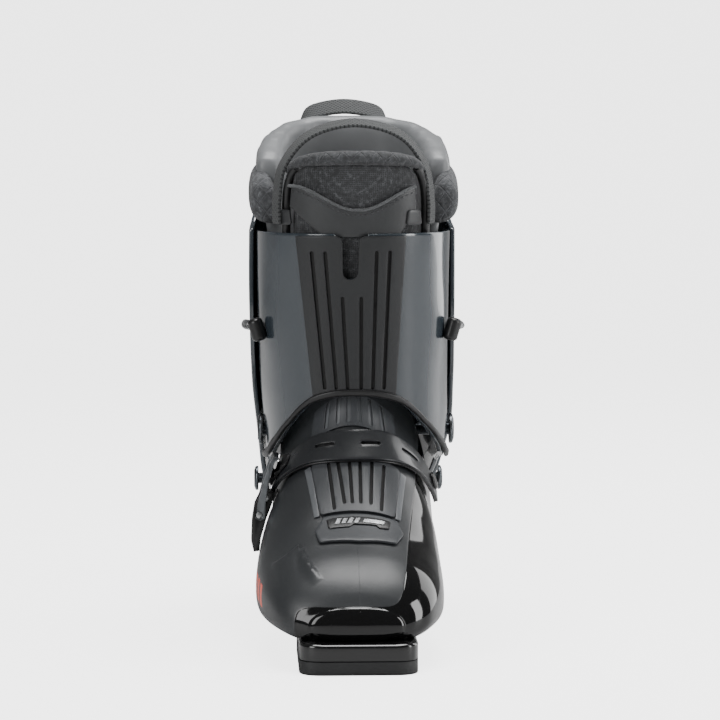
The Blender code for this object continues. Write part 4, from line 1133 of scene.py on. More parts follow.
def sole_outline(toe):
    """Outline of a sole lug: an oblong at the toe, a half round with straight sides at the heel."""
    half = 34.5 * MM
    if toe:
        low = -155 * MM
        return rounded_oblong(-half, half, low, low + 95 * MM, 14 * MM, 8)
    high = 155 * MM
    outline = []
    for i in range(33):
        angle = math.pi * i / 32
        outline.append((half * math.cos(angle), high - half + half * math.sin(angle)))
    return outline + [(-half, high - 78 * MM), (half, high - 78 * MM)]


def make_lugs():
    """The moulded lugs between the shell and the sole pads, with a fine ledge round the top."""
    for name, toe, low, high in (
        ("toe_lug_block", True, 8.0 * MM, 17 * MM),
        ("heel_lug_block", False, 8.0 * MM, 30 * MM),
    ):
        lug = flat_slab(name, sole_outline(toe), low, high)
        edit_faces(lug, lambda polygon: polygon.normal.z > 0.9)
        bpy.ops.mesh.inset(thickness=1.6 * MM)
        bpy.ops.transform.translate(value=(0, 0, 1.2 * MM))
        leave()
        round_rims(lug, 0.7 * MM, 3)
        for vertex in lug.data.vertices:
            if toe and vertex.co.z > high - 2 * MM and vertex.co.y < -140 * MM:
                vertex.co.z -= 1.5 * MM * math.exp(-((vertex.co.x / (16 * MM)) ** 2))
            vertex.co += SIDE_SHIFT
        soften(lug, 35)
        gloss = moulded_plastic("Lug plastic", tuple(colours().gloss), 0.12, 1200.0, 0.05, 0.3)
        hand_over(lug, "root", "shell", gloss)


class SKIBOOT_OT_lower_shell(bpy.types.Operator):
    """Builds the hollow lower shell with its two moulded lugs."""

    bl_idname = "skiboot.lower_shell"
    bl_label = "Lower Shell"

    def execute(self, context):
        make_shell()
        make_lugs()
        return {"FINISHED"}


class SKIBOOT_OT_sole(bpy.types.Operator):
    """Builds the two grooved sole pads and refines their screws and the boot board."""

    bl_idname = "skiboot.sole"
    bl_label = "Sole"

    def execute(self, context):
        rubber = soft_rubber("Sole rubber", tuple(colours().rubber))
        for node, toe in (("toe_sole_pad", True), ("heel_sole_pad", False)):
            low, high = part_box(node)
            pad = flat_slab(node + "_treaded", sole_outline(toe), 0, high.z)
            for vertex in pad.data.vertices:
                vertex.co += SIDE_SHIFT
            for i in range(5):
                middle = low.y + (high.y - low.y) * (0.24 + 0.14 * i)
                side, far = 50 * MM, middle + 3 * MM
                groove = [(-side, middle), (side, middle), (side, far), (-side, far)]
                cut_from(pad, flat_slab("tread_groove", groove, -1 * MM, 1.4 * MM))
            screws = range(1, 5) if toe else range(5, 9)
            for number in screws:
                start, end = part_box(f"sole_screw_{number}")
                bpy.ops.mesh.primitive_cylinder_add(
                    vertices=28,
                    radius=(end.x - start.x) / 2 + 0.3 * MM,
                    depth=8.6 * MM,
                    location=((start.x + end.x) / 2, (start.y + end.y) / 2, 0),
                )
                cut_from(pad, bpy.context.object)
            round_rims(pad, 0.5 * MM)
            soften(pad, 35)
            hand_over(pad, "root", "sole_rubber", rubber, node)
        for number in range(1, 9):
            screw = refined_copy(f"sole_screw_{number}", f"sole_screw_head_{number}", 0.3 * MM)
            low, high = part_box(f"sole_screw_{number}")
            middle = (low + high) / 2
            for turn in (0.0, 90.0):
                bpy.ops.mesh.primitive_cube_add(size=1, location=(middle.x, middle.y, low.z))
                recess = bpy.context.object
                recess.scale = (4.6 * MM, 0.9 * MM, 2.2 * MM)
                recess.rotation_euler.z = math.radians(turn)
                bpy.ops.object.transform_apply(location=False, rotation=True, scale=True)
                cut_from(screw, recess)
            hand_over(screw, "root", "steel", plain_alloy(), f"sole_screw_{number}")
        board = refined_copy("boot_board", "boot_board_sheet", 0.5 * MM)
        hand_over(board, "root", "board", matte_panel(), "boot_board")
        return {"FINISHED"}


def on_instep(a, b, height):
    """Point over the instep: a is across in metres, b is the section times 10 mm."""
    u = b / (10 * MM)
    return shell_point(u, shell_angle(u, a), height)


def instep_plate(name, outline, low, high, rim, finish, slots=(), depth=None):
    """A thin plate on the instep; its outline is (mm across, section)."""
    flat = [(x * MM, u * 10 * MM) for x, u in outline]
    cuts = [[(x * MM, u * 10 * MM) for x, u in slot] for slot in slots]
    plate = cut_plate(name, flat, high - low, rim, 1.6 * MM, cuts, depth)
    wrap(plate, lambda a, b, height: on_instep(a, b, low + height))
    return hand_over(plate, "root", "panel", finish)


def slanted_slot(low, high, width):
    """Slot between two (mm across, section) points, with its ends rounded in both scales."""
    half = width / 2
    span = 0.035
    return [
        (low[0] - half, low[1] + span),
        (low[0] - half * 0.5, low[1]),
        (low[0] + half * 0.5, low[1]),
        (low[0] + half, low[1] + span),
        (high[0] + half, high[1] - span),
        (high[0] + half * 0.5, high[1]),
        (high[0] - half * 0.5, high[1]),
        (high[0] - half, high[1] - span),
    ]


class SKIBOOT_OT_instep_panels(bpy.types.Operator):
    """Builds the ribbed instep panel with its light bars, the badge and the ribs under the arch."""

    bl_idname = "skiboot.instep_panels"
    bl_label = "Instep Panels"

    def execute(self, context):
        colour = colours()
        soft = moulded_plastic("Instep plastic", tuple(colour.instep), 0.42, 1500.0, 0.25)
        light = moulded_plastic("Light bar plastic", tuple(colour.bars), 0.4, 1500.0, 0.2)
        outline = [(-20.0, 5.15), (23.8, 5.15), (28.0, 6.85), (-24.4, 6.85)]
        slots = []
        for low_x, high_x, low_u in (
            (-11.6, -14.2, 5.22), (-5.6, -8.8, 5.36), (-1.0, -2.0, 5.36),
            (4.0, 4.3, 5.36), (9.9, 11.3, 5.36), (15.9, 18.4, 5.22),
        ):  # fmt: skip
            slots.append(slanted_slot((low_x, low_u), (high_x, 6.72), 2.1))
        rounded_outline = rounded([(x, u * 10) for x, u in outline], 2, 4)
        outline = [(x, u / 10) for x, u in rounded_outline]
        panel = instep_plate(
            "instep_rib_panel", outline, 0.7 * MM, 1.9 * MM, 0.25 * MM, soft, slots
        )
        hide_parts("instep_panel")
        # Near-black floor under the panel's slots: painted shade inside the grooves.
        floor = [(-18.5, 5.19), (22.4, 5.19), (26.5, 6.8), (-22.8, 6.8)]
        instep_plate("instep_groove_shade_floor", floor, 0.1 * MM, 0.6 * MM, 0, groove_shade_black())
        for name, bar in (
            ("instep_bar_left", [(-23.7, 5.17), (-20.4, 5.15), (-24.8, 6.85), (-28.4, 6.85)]),
            ("instep_bar_right", [(24.2, 5.15), (27.3, 5.17), (32.0, 6.85), (28.4, 6.85)]),
        ):
            instep_plate(name, bar, 0.3 * MM, 1.2 * MM, 0.25 * MM, light)
        badge = [
            (-21.3, 4.09), (-19.8, 4.03), (2.5, 3.9), (22.6, 4.03), (24.1, 4.09),
            (28.2, 4.6), (24.5, 5.05), (-18.0, 5.05), (-23.4, 4.6),
        ]  # fmt: skip
        plate = instep_plate("badge_shield", badge, 0.4 * MM, 2.3 * MM, 0.5 * MM, soft)
        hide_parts("badge_plate")
        inset = [
            (-14.3, 4.5), (-3.5, 4.5), (-1.1, 4.6), (12.4, 4.6), (14.0, 4.5),
            (19.5, 4.55), (20.6, 4.86), (16.0, 4.9), (-13.0, 4.9), (-16.4, 4.86), (-15.4, 4.54),
        ]  # fmt: skip
        recess = instep_plate("badge_window", inset, 2.35 * MM, 3.2 * MM, 0.3 * MM, black_part())
        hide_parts("badge_inset")
        for i in range(4):
            start = -11.5 + 3.6 * i
            bar = [(start, 4.63), (start + 2.3, 4.63), (start + 3.9, 4.83), (start + 1.6, 4.83)]
            instep_plate(f"badge_mark_{i + 1}", bar, 3.25 * MM, 3.55 * MM, 0, plain_alloy())
        bar = [(4.6, 4.66), (16.0, 4.66), (17.2, 4.79), (5.6, 4.79)]
        instep_plate("badge_mark_5", bar, 3.25 * MM, 3.55 * MM, 0, plain_alloy())
        upper = [(-24, 7.95), (27, 7.95), (25, 9.35), (-21, 9.35)]
        ends = ((-15, -13), (-8, -7), (-2, -1.6), (4.7, 4.3), (11.4, 10.4), (18.8, 17))
        slots = [slanted_slot((low_x, 8.1), (high_x, 9.28), 2.0) for low_x, high_x in ends]
        instep_plate("ankle_rib_panel", upper, 0.55 * MM, 1.6 * MM, 0.25 * MM, soft, slots)
        floor = [(-22.5, 8.0), (25.5, 8.0), (23.5, 9.3), (-19.5, 9.3)]
        instep_plate("ankle_groove_floor", floor, 0.1 * MM, 0.5 * MM, 0, light)
        return {"FINISHED"}


# ---------------------------------------------------------------- cuffs

# Side views of the two cuffs, as (along, height) in millimetres.
FRONT_CUFF_LOW = [
    (-38.0, 149.5), (-32, 144), (-21, 131), (-8, 119.5), (8, 109), (20, 105), (38, 104), (60, 98),
    (80, 81), (96, 69.5), (107, 67), (117, 70.5), (120.5, 80),
]  # fmt: skip
FRONT_CUFF_HIGH = [
    (117, 89.5), (107, 93.5), (84, 112), (63, 140), (53, 175), (50, 243), (46, 246), (20, 246.5),
    (-20, 247.5), (-45, 248.2),
]  # fmt: skip
REAR_CUFF_LOW = [
    (145, 96), (134, 92), (116, 73), (107, 69.5), (97, 73), (95, 84), (88, 100), (64, 126),
    (45, 160), (37, 200), (37, 246), (48, 250), (66, 262), (84, 292),
]  # fmt: skip
SLIT_X = -1.2 * MM
SLIT_HALF = 4.15 * MM


def side_line(points, side, middle, offset):
    """A cuff outline seen from the side, as (arc, height) points measured from the middle angle."""
    line = []
    for y, z in points:
        angle = cuff_angle_at_y(z * MM, y * MM, side, offset)
        if middle:
            angle = angle - math.copysign(middle, angle)
        line.append((angle * CUFF_RADIUS, z * MM))
    return line


def both_sides(points, middle, offset):
    """The left and the right side of a cuff's outline."""
    dense = [(point.x, point.y) for point in densify(points, 2.5)]
    return side_line(dense, -1, middle, offset), side_line(dense, 1, middle, offset)


def front_cuff_place(a, b, height):
    angle = a / CUFF_RADIUS
    point = cuff_point(b, angle, height - CUFF_WALL)
    if height > CUFF_WALL / 2:
        y_away = (point.y + 8 * MM) / (17 * MM)
        z_away = (b - 192 * MM) / (24 * MM)
        bulge = 1.7 * MM * math.exp(-(y_away**2) - z_away**2)
        point.x += math.copysign(bulge, point.x)
    return point


def rear_cuff_place(a, b, height):
    return cuff_point(b, math.pi + a / CUFF_RADIUS, REAR_CUFF_IN + 0.4 * MM + 0.9 * height)


def cut_pivot_hole(cuff, x, pivot, radius):
    """A round hole through one wall of a cuff, square to the side."""
    bpy.ops.mesh.primitive_cylinder_add(
        vertices=40,
        radius=radius,
        depth=60 * MM,
        location=Vector((x, *pivot)) + SIDE_SHIFT,
        rotation=(0, math.pi / 2, 0),
    )
    cut_from(cuff, bpy.context.object)


def make_front_cuff():
    low_left, low_right = both_sides(FRONT_CUFF_LOW, 0, 0.0)
    high_left, high_right = both_sides(FRONT_CUFF_HIGH, 0, 0.0)
    outline = list(reversed(low_left)) + [(0.0, 149.6 * MM)] + low_right
    outline += high_right + [(0.0, 248.3 * MM)] + list(reversed(high_left))
    outline = without_close_points(outline, 0.4 * MM)
    slit = []
    for i in range(13):
        angle = math.pi + math.pi * i / 12
        slit.append((1.1 * SLIT_HALF * math.cos(angle), 225 * MM + SLIT_HALF * math.sin(angle)))
    slit += [(1.5 * SLIT_HALF, 247 * MM), (2.1 * SLIT_HALF, 256 * MM)]
    slit += [(-2.1 * SLIT_HALF, 256 * MM), (-1.5 * SLIT_HALF, 247 * MM)]
    centre = (SLIT_X - CUFF_MIDDLE) * 0.72
    slit = [(a + centre, b) for a, b in slit]
    rim = sizes().rim
    cuff = cut_plate("front_cuff_shell", outline, CUFF_WALL, rim, 2.2 * MM, [slit], segments=3)
    wrap(cuff, front_cuff_place)
    for side in (-1, 1):
        cut_pivot_hole(cuff, side * 55 * MM, ANKLE_PIVOT, 4.3 * MM)
        cut_pivot_hole(cuff, side * 50 * MM, HINGE_PIVOT, 3.8 * MM)
    soften(cuff, 35)
    return hand_over(cuff, "front_cuff", "cuff_gloss", slate_plastic(), "front_cuff")


def panel_on_cuff(a, b, height):
    return cuff_point(b, cuff_angle_at_x(b, a), 0.65 * MM + height)


def make_flex_panel():
    """The ribbed panel over the cuff's front, open round the slit; its near-black groove floors are
    painted shade.
    """
    slit_low = []
    for i in range(9):
        angle = 2 * math.pi - math.pi * i / 8
        slit_low.append((-1.2 + 4.5 * math.cos(angle), 225 + 4.5 * math.sin(angle)))
    outline = [
        (-23.0, 148.9), (-12, 150.2), (12, 150.4), (26.3, 148.2), (31.4, 246.6),
        (7.2, 247), (4.4, 245.6), (3.6, 242), *slit_low,
        (-6.0, 242), (-6.8, 245.6), (-9.6, 247), (-33.3, 246.4),
    ]  # fmt: skip
    grooves = []
    for low_x, high_x, top in (
        (-15.8, -23.8, 236.5), (-9.0, -16.0, 236.5), (-2.4, -5.8, 209), (5.5, 5.2, 209),
        (12.4, 14.0, 237), (19.0, 21.8, 237),
    ):  # fmt: skip
        low, high = in_metres([(low_x, 154), (high_x, top)])
        grooves.append(slot_outline(low, high, sizes().groove))
    panel = cut_plate(
        "flex_rib_panel", in_metres(outline), 1.1 * MM, 0.3 * MM, 1.8 * MM, grooves
    )
    wrap(panel, panel_on_cuff)
    hand_over(panel, "front_cuff", "panel", matte_panel(), "flex_panel")
    # Near-black floors under the grooves: painted shade inside them.
    for name, floor in (
        ("left", [(-20, 152), (-1, 152), (-1, 217), (-7.5, 217), (-8.5, 240), (-28, 240)]),
        ("right", [(1, 152), (23, 152), (26, 240), (7, 240), (6, 217), (1, 217)]),
    ):
        backing = cut_plate(f"flex_groove_floor_{name}", in_metres(floor), 0.35 * MM, 0, 3 * MM)
        wrap(backing, lambda a, b, height: panel_on_cuff(a, b, height - 0.5 * MM))
        hand_over(backing, "front_cuff", "panel", groove_shade_black())


def arch_edge(angle):
    """Height of the front cuff's lower edge at an angle from the front."""
    z = 0.14
    for _ in range(30):
        y = cuff_point(z, angle).y / MM
        for (y0, z0), (y1, z1) in zip(FRONT_CUFF_LOW[:7], FRONT_CUFF_LOW[1:8]):
            if y0 <= y <= y1:
                z = (z + (z0 + (z1 - z0) * (y - y0) / (y1 - y0)) * MM) / 2
    return z


def make_arch_trim():
    reach = math.radians(84) * CUFF_RADIUS
    outline = rounded_oblong(-reach, reach, -0.4 * MM, 4 * MM, 1.9 * MM, 5)
    trim = cut_plate("arch_bumper", outline, 3.0 * MM, 1.45 * MM, 1.6 * MM, segments=4)
    edges = {}

    def place(a, b, height):
        key = round(a / (0.05 * MM))
        if key not in edges:
            edges[key] = arch_edge(a / CUFF_RADIUS)
        return cuff_point(edges[key] + b, a / CUFF_RADIUS, 0.3 * MM + height)

    wrap(trim, place, 50)
    rubber = soft_rubber("Trim rubber", (0.007, 0.007, 0.0075), 0.4)
    hand_over(trim, "front_cuff", "trim_rubber", rubber, "arch_trim")


def make_rear_cuff():
    left, right = both_sides(REAR_CUFF_LOW, math.pi, REAR_CUFF_OUT)
    outline = [(0.0, 95.3 * MM)] + left + [(0.0, 296.8 * MM)] + list(reversed(right))
    outline = without_close_points(outline, 0.5 * MM)
    cuff = cut_plate("rear_cuff_shell", outline, CUFF_WALL, sizes().rim, 2.6 * MM, segments=3)
    wrap(cuff, rear_cuff_place)
    for side in (-1, 1):
        cut_pivot_hole(cuff, side * 52 * MM, HINGE_PIVOT, 3.8 * MM)
    soften(cuff, 35)
    hand_over(cuff, "rear_cuff", "cuff_gloss", slate_plastic(), "rear_cuff")
    outline = in_metres(rounded([(-17, 226), (17, 226), (24, 286), (-24, 286)], 5))
    grooves = []
    for x in (-13, -6.5, 0, 6.5, 13):
        low, high = (x * MM * 0.75, 233 * MM), (x * MM * 1.15, 279 * MM)
        grooves.append(slot_outline(low, high, sizes().groove))
    panel = cut_plate(
        "spine_rib_panel", outline, 1.3 * MM, 0.35 * MM, 2.4 * MM, grooves, depth=0.9 * MM
    )

    def place(a, b, height):
        return cuff_point(b, math.pi + a / CUFF_RADIUS, REAR_CUFF_OUT + 0.2 * MM + height)

    wrap(panel, place)
    hand_over(panel, "rear_cuff", "panel", matte_panel())


def rivet_cap(name, node, body, rim_finish):
    """A rivet with a black disc standing on the middle of its head."""
    piece = refined_copy(node, name, 0.3 * MM)
    hand_over(piece, body, "steel", rim_finish, node)
    low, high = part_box(node)
    side = -1 if low.x < 0 else 1
    outer = low.x if side < 0 else high.x
    middle = (low + high) / 2
    radius = (high.y - low.y) / 2
    deselect()
    bpy.ops.mesh.primitive_cylinder_add(
        vertices=48,
        radius=radius * 0.72,
        depth=0.5 * MM,
        location=(outer + side * 0.2 * MM, middle.y, middle.z),
        rotation=(0, math.pi / 2, 0),
    )
    disc = bpy.context.object
    disc.name = name + "_disc"
    edit_faces(disc, lambda polygon: len(polygon.vertices) > 10)
    bpy.ops.mesh.inset(thickness=radius * 0.22)
    leave()
    round_rims(disc, 0.15 * MM)
    bpy.ops.object.transform_apply(location=True, rotation=True, scale=True)
    soften(disc, 35)
    hand_over(disc, body, "black_plastic", black_part())


class SKIBOOT_OT_front_cuff(bpy.types.Operator):
    """Builds the front cuff, its ribbed flex panel and the rubber along its arch."""

    bl_idname = "skiboot.front_cuff"
    bl_label = "Front Cuff"

    def execute(self, context):
        make_front_cuff()
        make_flex_panel()
        make_arch_trim()
        return {"FINISHED"}


class SKIBOOT_OT_rear_cuff(bpy.types.Operator):
    """Builds the rear cuff with its ribbed spine panel."""

    bl_idname = "skiboot.rear_cuff"
    bl_label = "Rear Cuff"

    def execute(self, context):
        make_rear_cuff()
        return {"FINISHED"}


class SKIBOOT_OT_rivets(bpy.types.Operator):
    """Refines the ankle and hinge rivets and the cable anchors."""

    bl_idname = "skiboot.rivets"
    bl_label = "Rivets and Anchors"

    def execute(self, context):
        for side in ("left", "right"):
            dark = brushed_alloy("Dark rivet alloy", (0.10, 0.11, 0.12), 0.3)
            rivet_cap(f"ankle_rivet_cap_{side}", f"ankle_rivet_{side}", "root", dark)
            rivet_cap(f"hinge_rivet_cap_{side}", f"hinge_rivet_{side}", "front_cuff", dark)
            anchor = refined_copy(f"cable_anchor_{side}", f"cable_barrel_{side}", 0)
            round_rims(anchor, 0.7 * MM, 3)
            soften(anchor, 40)
            hand_over(anchor, "front_cuff", "black_plastic", black_part(), f"cable_anchor_{side}")
        return {"FINISHED"}


# ---------------------------------------------------------------- liner and pull loops


def piping_height(x):
    """Height of the tongue's piping over its width, in metres."""
    return (262.5 + 14 * step_between(2, 38, abs(x / MM - 3))) * MM


def on_tongue(x, z, height):
    """Point over the tongue's front face."""
    offset = -3.3 * MM
    return cuff_point(z, cuff_angle_at_x(z, x, offset), offset + height)


def tongue_top(side):
    return (294.5 - 4 * side**2 - 5 * side**8) * MM


def make_tongue():
    reach, tall, thick = 46 * MM, 110 * MM, 10 * MM
    outline = rounded_oblong(-reach, reach, 0, tall, 8 * MM, 5)
    body = cut_plate("tongue_padding", outline, thick, 2.5 * MM, 4 * MM, segments=3)

    def place(a, b, height):
        side = a / reach
        share = b / tall
        low = 184 * MM
        z = low + (tongue_top(side) - low) * share
        depth = (8 + 8 * share) * (1 - 0.45 * side * side) * MM
        return cuff_point(z, TONGUE_TURN * side, -4.6 * MM - (1 - height / thick) * depth)

    wrap(body, place)
    swell(body, 1.2 * MM, 5 * MM)
    mesh = knit("Mesh knit", tuple(colours().textile), fineness=850.0)
    hand_over(body, "front_cuff", "liner_textile", mesh, "liner_tongue")

    outline = in_metres([(-17, 246), (27, 246), (37.5, 262)])
    for i in range(37):
        x = (36.5 - i * 2) * MM
        outline.append((x, piping_height(x)))
    outline.append((-36.5 * MM, 264 * MM))
    panel = cut_plate("tongue_smooth_panel", outline, 1.8 * MM, 0.5 * MM, 2.2 * MM)
    wrap(panel, on_tongue, 50)
    smooth_skin = smooth_foam("Tongue skin", tuple(colours().tongue), 0.38)
    hand_over(panel, "front_cuff", "liner_smooth", smooth_skin)

    places = [(-37 + 74 * i / 90) * MM for i in range(91)]
    line = [on_tongue(x, piping_height(x), 1.6 * MM) for x in places]
    piping = tube("tongue_piping", line, sizes().piping, 14)
    cord = woven("Piping cord", (0.075, 0.078, 0.081), 0.0016)
    hand_over(piping, "front_cuff", "liner_textile", cord)

    deselect()
    bpy.ops.mesh.primitive_uv_sphere_add(segments=8, ring_count=6, radius=0.5 * MM)
    stitch = bpy.context.object
    stitch.scale = (sizes().stitch / (1 * MM), 0.7, 0.7)
    bpy.ops.object.transform_apply(location=False, rotation=False, scale=True)
    matrices = []
    for i in range(25):
        x = (-34.5 + 69 * i / 24) * MM
        here = on_tongue(x, piping_height(x) - 3.1 * MM, 1.9 * MM)
        ahead = on_tongue(x + 1 * MM, piping_height(x + 1 * MM) - 3.1 * MM, 1.9 * MM)
        turn = (ahead - here).normalized().to_track_quat("X", "Z").to_matrix().to_4x4()
        matrices.append(Matrix.Translation(here) @ turn)
    stitches = row_of("tongue_stitches", stitch, matrices)
    soften(stitches, 60)
    thread = woven("Stitching thread", (0.05, 0.052, 0.055), 0.0006)
    hand_over(stitches, "front_cuff", "liner_textile", thread)

    line = []
    for i in range(61):
        side = -1 + 2 * i / 60
        line.append(cuff_point(tongue_top(side) - 1.0 * MM, TONGUE_TURN * side, -6.6 * MM))

    def plump(along):
        full = 4.4 * math.sin(math.pi * min(0.98, max(0.02, along))) ** 0.3
        return (full + 0.12 * math.sin(along * 60)) * MM

    roll = tube("tongue_top_roll", line, plump, 22)
    quilt = knit("Quilted roll", lighter(colours().textile, 1.3), quilted=True, fineness=1300.0)
    hand_over(roll, "front_cuff", "liner_textile", quilt)
    dark = smooth_foam("Binding", (0.008, 0.0083, 0.009), 0.4)
    for name, side in (("left", -1), ("right", 1)):
        line = []
        for i in range(25):
            share = i / 24
            z = (246 + 41 * share) * MM
            angle = side * math.radians(46.5 - 7 * share**6)
            line.append(cuff_point(z, angle, (-5.2 - 2 * share**4) * MM))
        binding = tube(f"tongue_binding_{name}", line, 2.7 * MM, 16)
        hand_over(binding, "front_cuff", "liner_smooth", dark)


class SKIBOOT_OT_tongue(bpy.types.Operator):
    """Builds the padded tongue with its skin, piping, stitches and quilted top roll."""

    bl_idname = "skiboot.tongue"
    bl_label = "Tongue"

    def execute(self, context):
        make_tongue()
        return {"FINISHED"}


class SKIBOOT_OT_rear_liner(bpy.types.Operator):
    """Builds the padded calf part of the liner and its two quilted wings."""

    bl_idname = "skiboot.rear_liner"
    bl_label = "Rear Liner"

    def execute(self, context):
        reach, tall, thick = 150 * MM, 190 * MM, 12 * MM
        outline = rounded_oblong(-reach, reach, 0, tall, 14 * MM, 6)
        calf = cut_plate("calf_padding", outline, thick, 3.2 * MM, 5 * MM, segments=3)

        def place(a, b, height):
            side = a / reach
            low = 118 + 82 * abs(side) ** 1.5
            top = 317 - 24 * abs(side) ** 2.5
            back = max(0.0, 1 - (abs(side) / 0.64) ** 6)
            z = (low + (top - low) * b / tall) * MM
            flare = 8 * step_between(0.45, 0.75, abs(side)) * step_between(0.238, 0.288, z)
            outer = (-7.8 + 7.6 * back + flare) * MM
            depth = (9 + 5 * back + flare) * MM
            angle = math.pi + side * math.radians(96)
            return cuff_point(z, angle, outer - (1 - height / thick) * depth)

        wrap(calf, place)
        swell(calf, 1.0 * MM, 4 * MM)
        skin = smooth_foam("Calf skin", tuple(colours().smooth_liner))
        hand_over(calf, "rear_cuff", "liner_smooth", skin, "liner_rear")
        for name, side in (("left", -1), ("right", 1)):
            outline = rounded_oblong(0, 40 * MM, 0, 38 * MM, 7 * MM, 5)
            wing = cut_plate(f"wing_padding_{name}", outline, thick, 2.4 * MM, 3 * MM, segments=3)

            def fold(a, b, height, side=side):
                along = a / (40 * MM)
                share = b / (38 * MM)
                y = (-4 + 48 * along) * MM
                z = (251.5 + (39 - 10 * (along - 0.6) ** 2 - 9 * (1 - along) ** 2) * share) * MM
                plump = max(0.0, 1 - abs(2 * share - 1) ** 4)
                outer = (-2 + 7.0 * plump) * MM
                inner = (-7.4 - 13 * (1 - along) * (1 - share)) * MM
                offset = outer + (1 - height / thick) * (inner - outer)
                return cuff_point(z, cuff_angle_at_y(z, y, side, offset), offset)

            wrap(wing, fold)
            swell(wing, 1.0 * MM, 3 * MM)
            grey = lighter(colours().textile, 1.9)
            quilt = knit("Quilted wing", grey, quilted=True, fineness=1300.0)
            hand_over(wing, "rear_cuff", "liner_textile", quilt, f"liner_wing_{name}")
        return {"FINISHED"}


class SKIBOOT_OT_foot_liner(bpy.types.Operator):
    """Refines the padded foot part of the liner."""

    bl_idname = "skiboot.foot_liner"
    bl_label = "Foot Liner"

    def execute(self, context):
        liner = refined_copy("liner_foot", "foot_padding", 0.8 * MM)
        soften(liner, 60)
        mesh = knit("Foot knit", tuple(colours().textile), fineness=850.0)
        hand_over(liner, "root", "liner_textile", mesh, "liner_foot")
        return {"FINISHED"}


class SKIBOOT_OT_pull_loops(bpy.types.Operator):
    """Builds the two webbing pull loops and the tabs they are sewn to."""

    bl_idname = "skiboot.pull_loops"
    bl_label = "Pull Loops"

    def execute(self, context):
        webbing = woven("Loop webbing", tuple(colours().webbing), sizes().weave)
        points = [
            (-45, -33, 253), (-45, -33, 268), (-41, -34, 289), (-25, -36, 307), (2, -37, 314),
            (29, -36, 307), (44, -34, 289), (48, -33, 268), (48, -33, 253),
        ]  # fmt: skip
        line = [point * MM for point in smooth_line(points, 10)]
        turn = math.radians(70)

        def wide(share, tangent):
            across = tangent.cross(Vector((0, 1, 0)))
            return Vector((0, math.sin(turn), 0)) + across * math.cos(turn)

        front = band("front_webbing_loop", line, wide, 11 * MM, 2 * MM)
        hand_over(front, "front_cuff", "webbing", webbing, "front_pull_loop")
        points = [
            (-26, 97, 303), (-26, 97, 311), (-20, 95, 318), (0, 94, 321.5),
            (20, 95, 318), (26, 97, 311), (26, 97, 303),
        ]  # fmt: skip
        line = [point * MM for point in smooth_line(points, 10)]
        upwards = Vector((0, 0.8, 0.6))
        rear = band("rear_webbing_loop", line, lambda share, tangent: upwards, 14 * MM, 2 * MM)
        hand_over(rear, "rear_cuff", "webbing", webbing, "rear_pull_loop")
        tabs = moulded_plastic("Tab plastic", (0.026, 0.0275, 0.029), 0.35)
        for name, x in (("left", -39.3), ("right", 35.7)):
            corners = [(x - 4.5, 253), (x + 4.5, 253), (x + 3.5, 262), (x - 3.5, 262)]
            outline = in_metres(rounded(corners, 1.6))
            tab = cut_plate(f"loop_tab_{name}", outline, 1.6 * MM, 0.4 * MM, 2 * MM)
            wrap(tab, lambda a, b, height: on_tongue(a, b, 1.4 * MM + height))
            hand_over(tab, "front_cuff", "webbing", tabs)
        return {"FINISHED"}


# ---------------------------------------------------------------- strap, buckle and lever


# Share along the strap, with the shell section and the angle that its middle lies over.
STRAP_LINE = [
    (0.0, 7.9, -57.0), (0.25, 7.45, -30.0), (0.5, 7.15, 2.0), (0.75, 7.75, 36.0), (1.0, 9.1, 75.0),
]  # fmt: skip
# Share along the strap, with half its width in millimetres.
STRAP_HALF_WIDTH = [(0.0, 7.0), (0.25, 9.5), (0.5, 10.5), (0.8, 9.5), (1.0, 5.0)]
STRAP_LENGTH = 150 * MM


def on_strap(a, b, height):
    """Point on the strap: a is along it in metres, b across it, height over the shell."""
    share = max(0.0, min(1.0, a / STRAP_LENGTH))
    u, degrees = smooth(STRAP_LINE, share)
    angle = math.radians(degrees)
    run = (shell_point(u + 0.05, angle) - shell_point(u - 0.05, angle)).length / 0.1
    return shell_point(u + b / run, angle, height)


def strap_outline(wider):
    low, high = [], []
    for i in range(31):
        share = i / 30
        half = (smooth(STRAP_HALF_WIDTH, share)[0] + wider) * MM
        low.append((share * STRAP_LENGTH, -half))
        high.append((share * STRAP_LENGTH, half))
    return low + high[::-1]


class SKIBOOT_OT_strap(bpy.types.Operator):
    """Builds the slotted instep strap with its lining, and refines its ladder and rivet."""

    bl_idname = "skiboot.strap"
    bl_label = "Instep Strap"

    def execute(self, context):
        slots = []
        for share in (0.36, 0.57, 0.77):
            middle = share * STRAP_LENGTH
            start, end = (middle - 6 * MM, 0.4 * MM), (middle + 6 * MM, 0.4 * MM)
            slots.append(slot_outline(start, end, 2.4 * MM))
        upper = cut_plate("strap_upper", strap_outline(0), 1.7 * MM, 0.6 * MM, 2 * MM, slots)
        wrap(upper, lambda a, b, height: on_strap(a, b, 3.3 * MM + height), 40)
        leather = moulded_plastic("Strap plastic", tuple(colours().strap), 0.3, 1300.0, 0.3, 0.2)
        hand_over(upper, None, "strap_plastic", leather, "instep_strap")
        lining = cut_plate("strap_lining", strap_outline(0.6), 1.0 * MM, 0.3 * MM, 2 * MM)
        wrap(lining, lambda a, b, height: on_strap(a, b, 2.3 * MM + height), 40)
        hand_over(lining, None, "strap_plastic", black_part())
        for piece in (upper, lining):
            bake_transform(piece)
        ladder = refined_copy("strap_ladder", "strap_ladder_teeth", 0.25 * MM)
        hand_over(ladder, "instep_strap", "black_plastic", black_part(), "strap_ladder")
        rivet = refined_copy("strap_rivet", "strap_rivet_head", 0.25 * MM)
        hand_over(rivet, "root", "steel", black_part(), "strap_rivet")
        return {"FINISHED"}


def refine(node, body, slot, finish, rim=0.4 * MM):
    piece = refined_copy(node, node + "_finished", rim)
    return hand_over(piece, body, slot, finish, node)


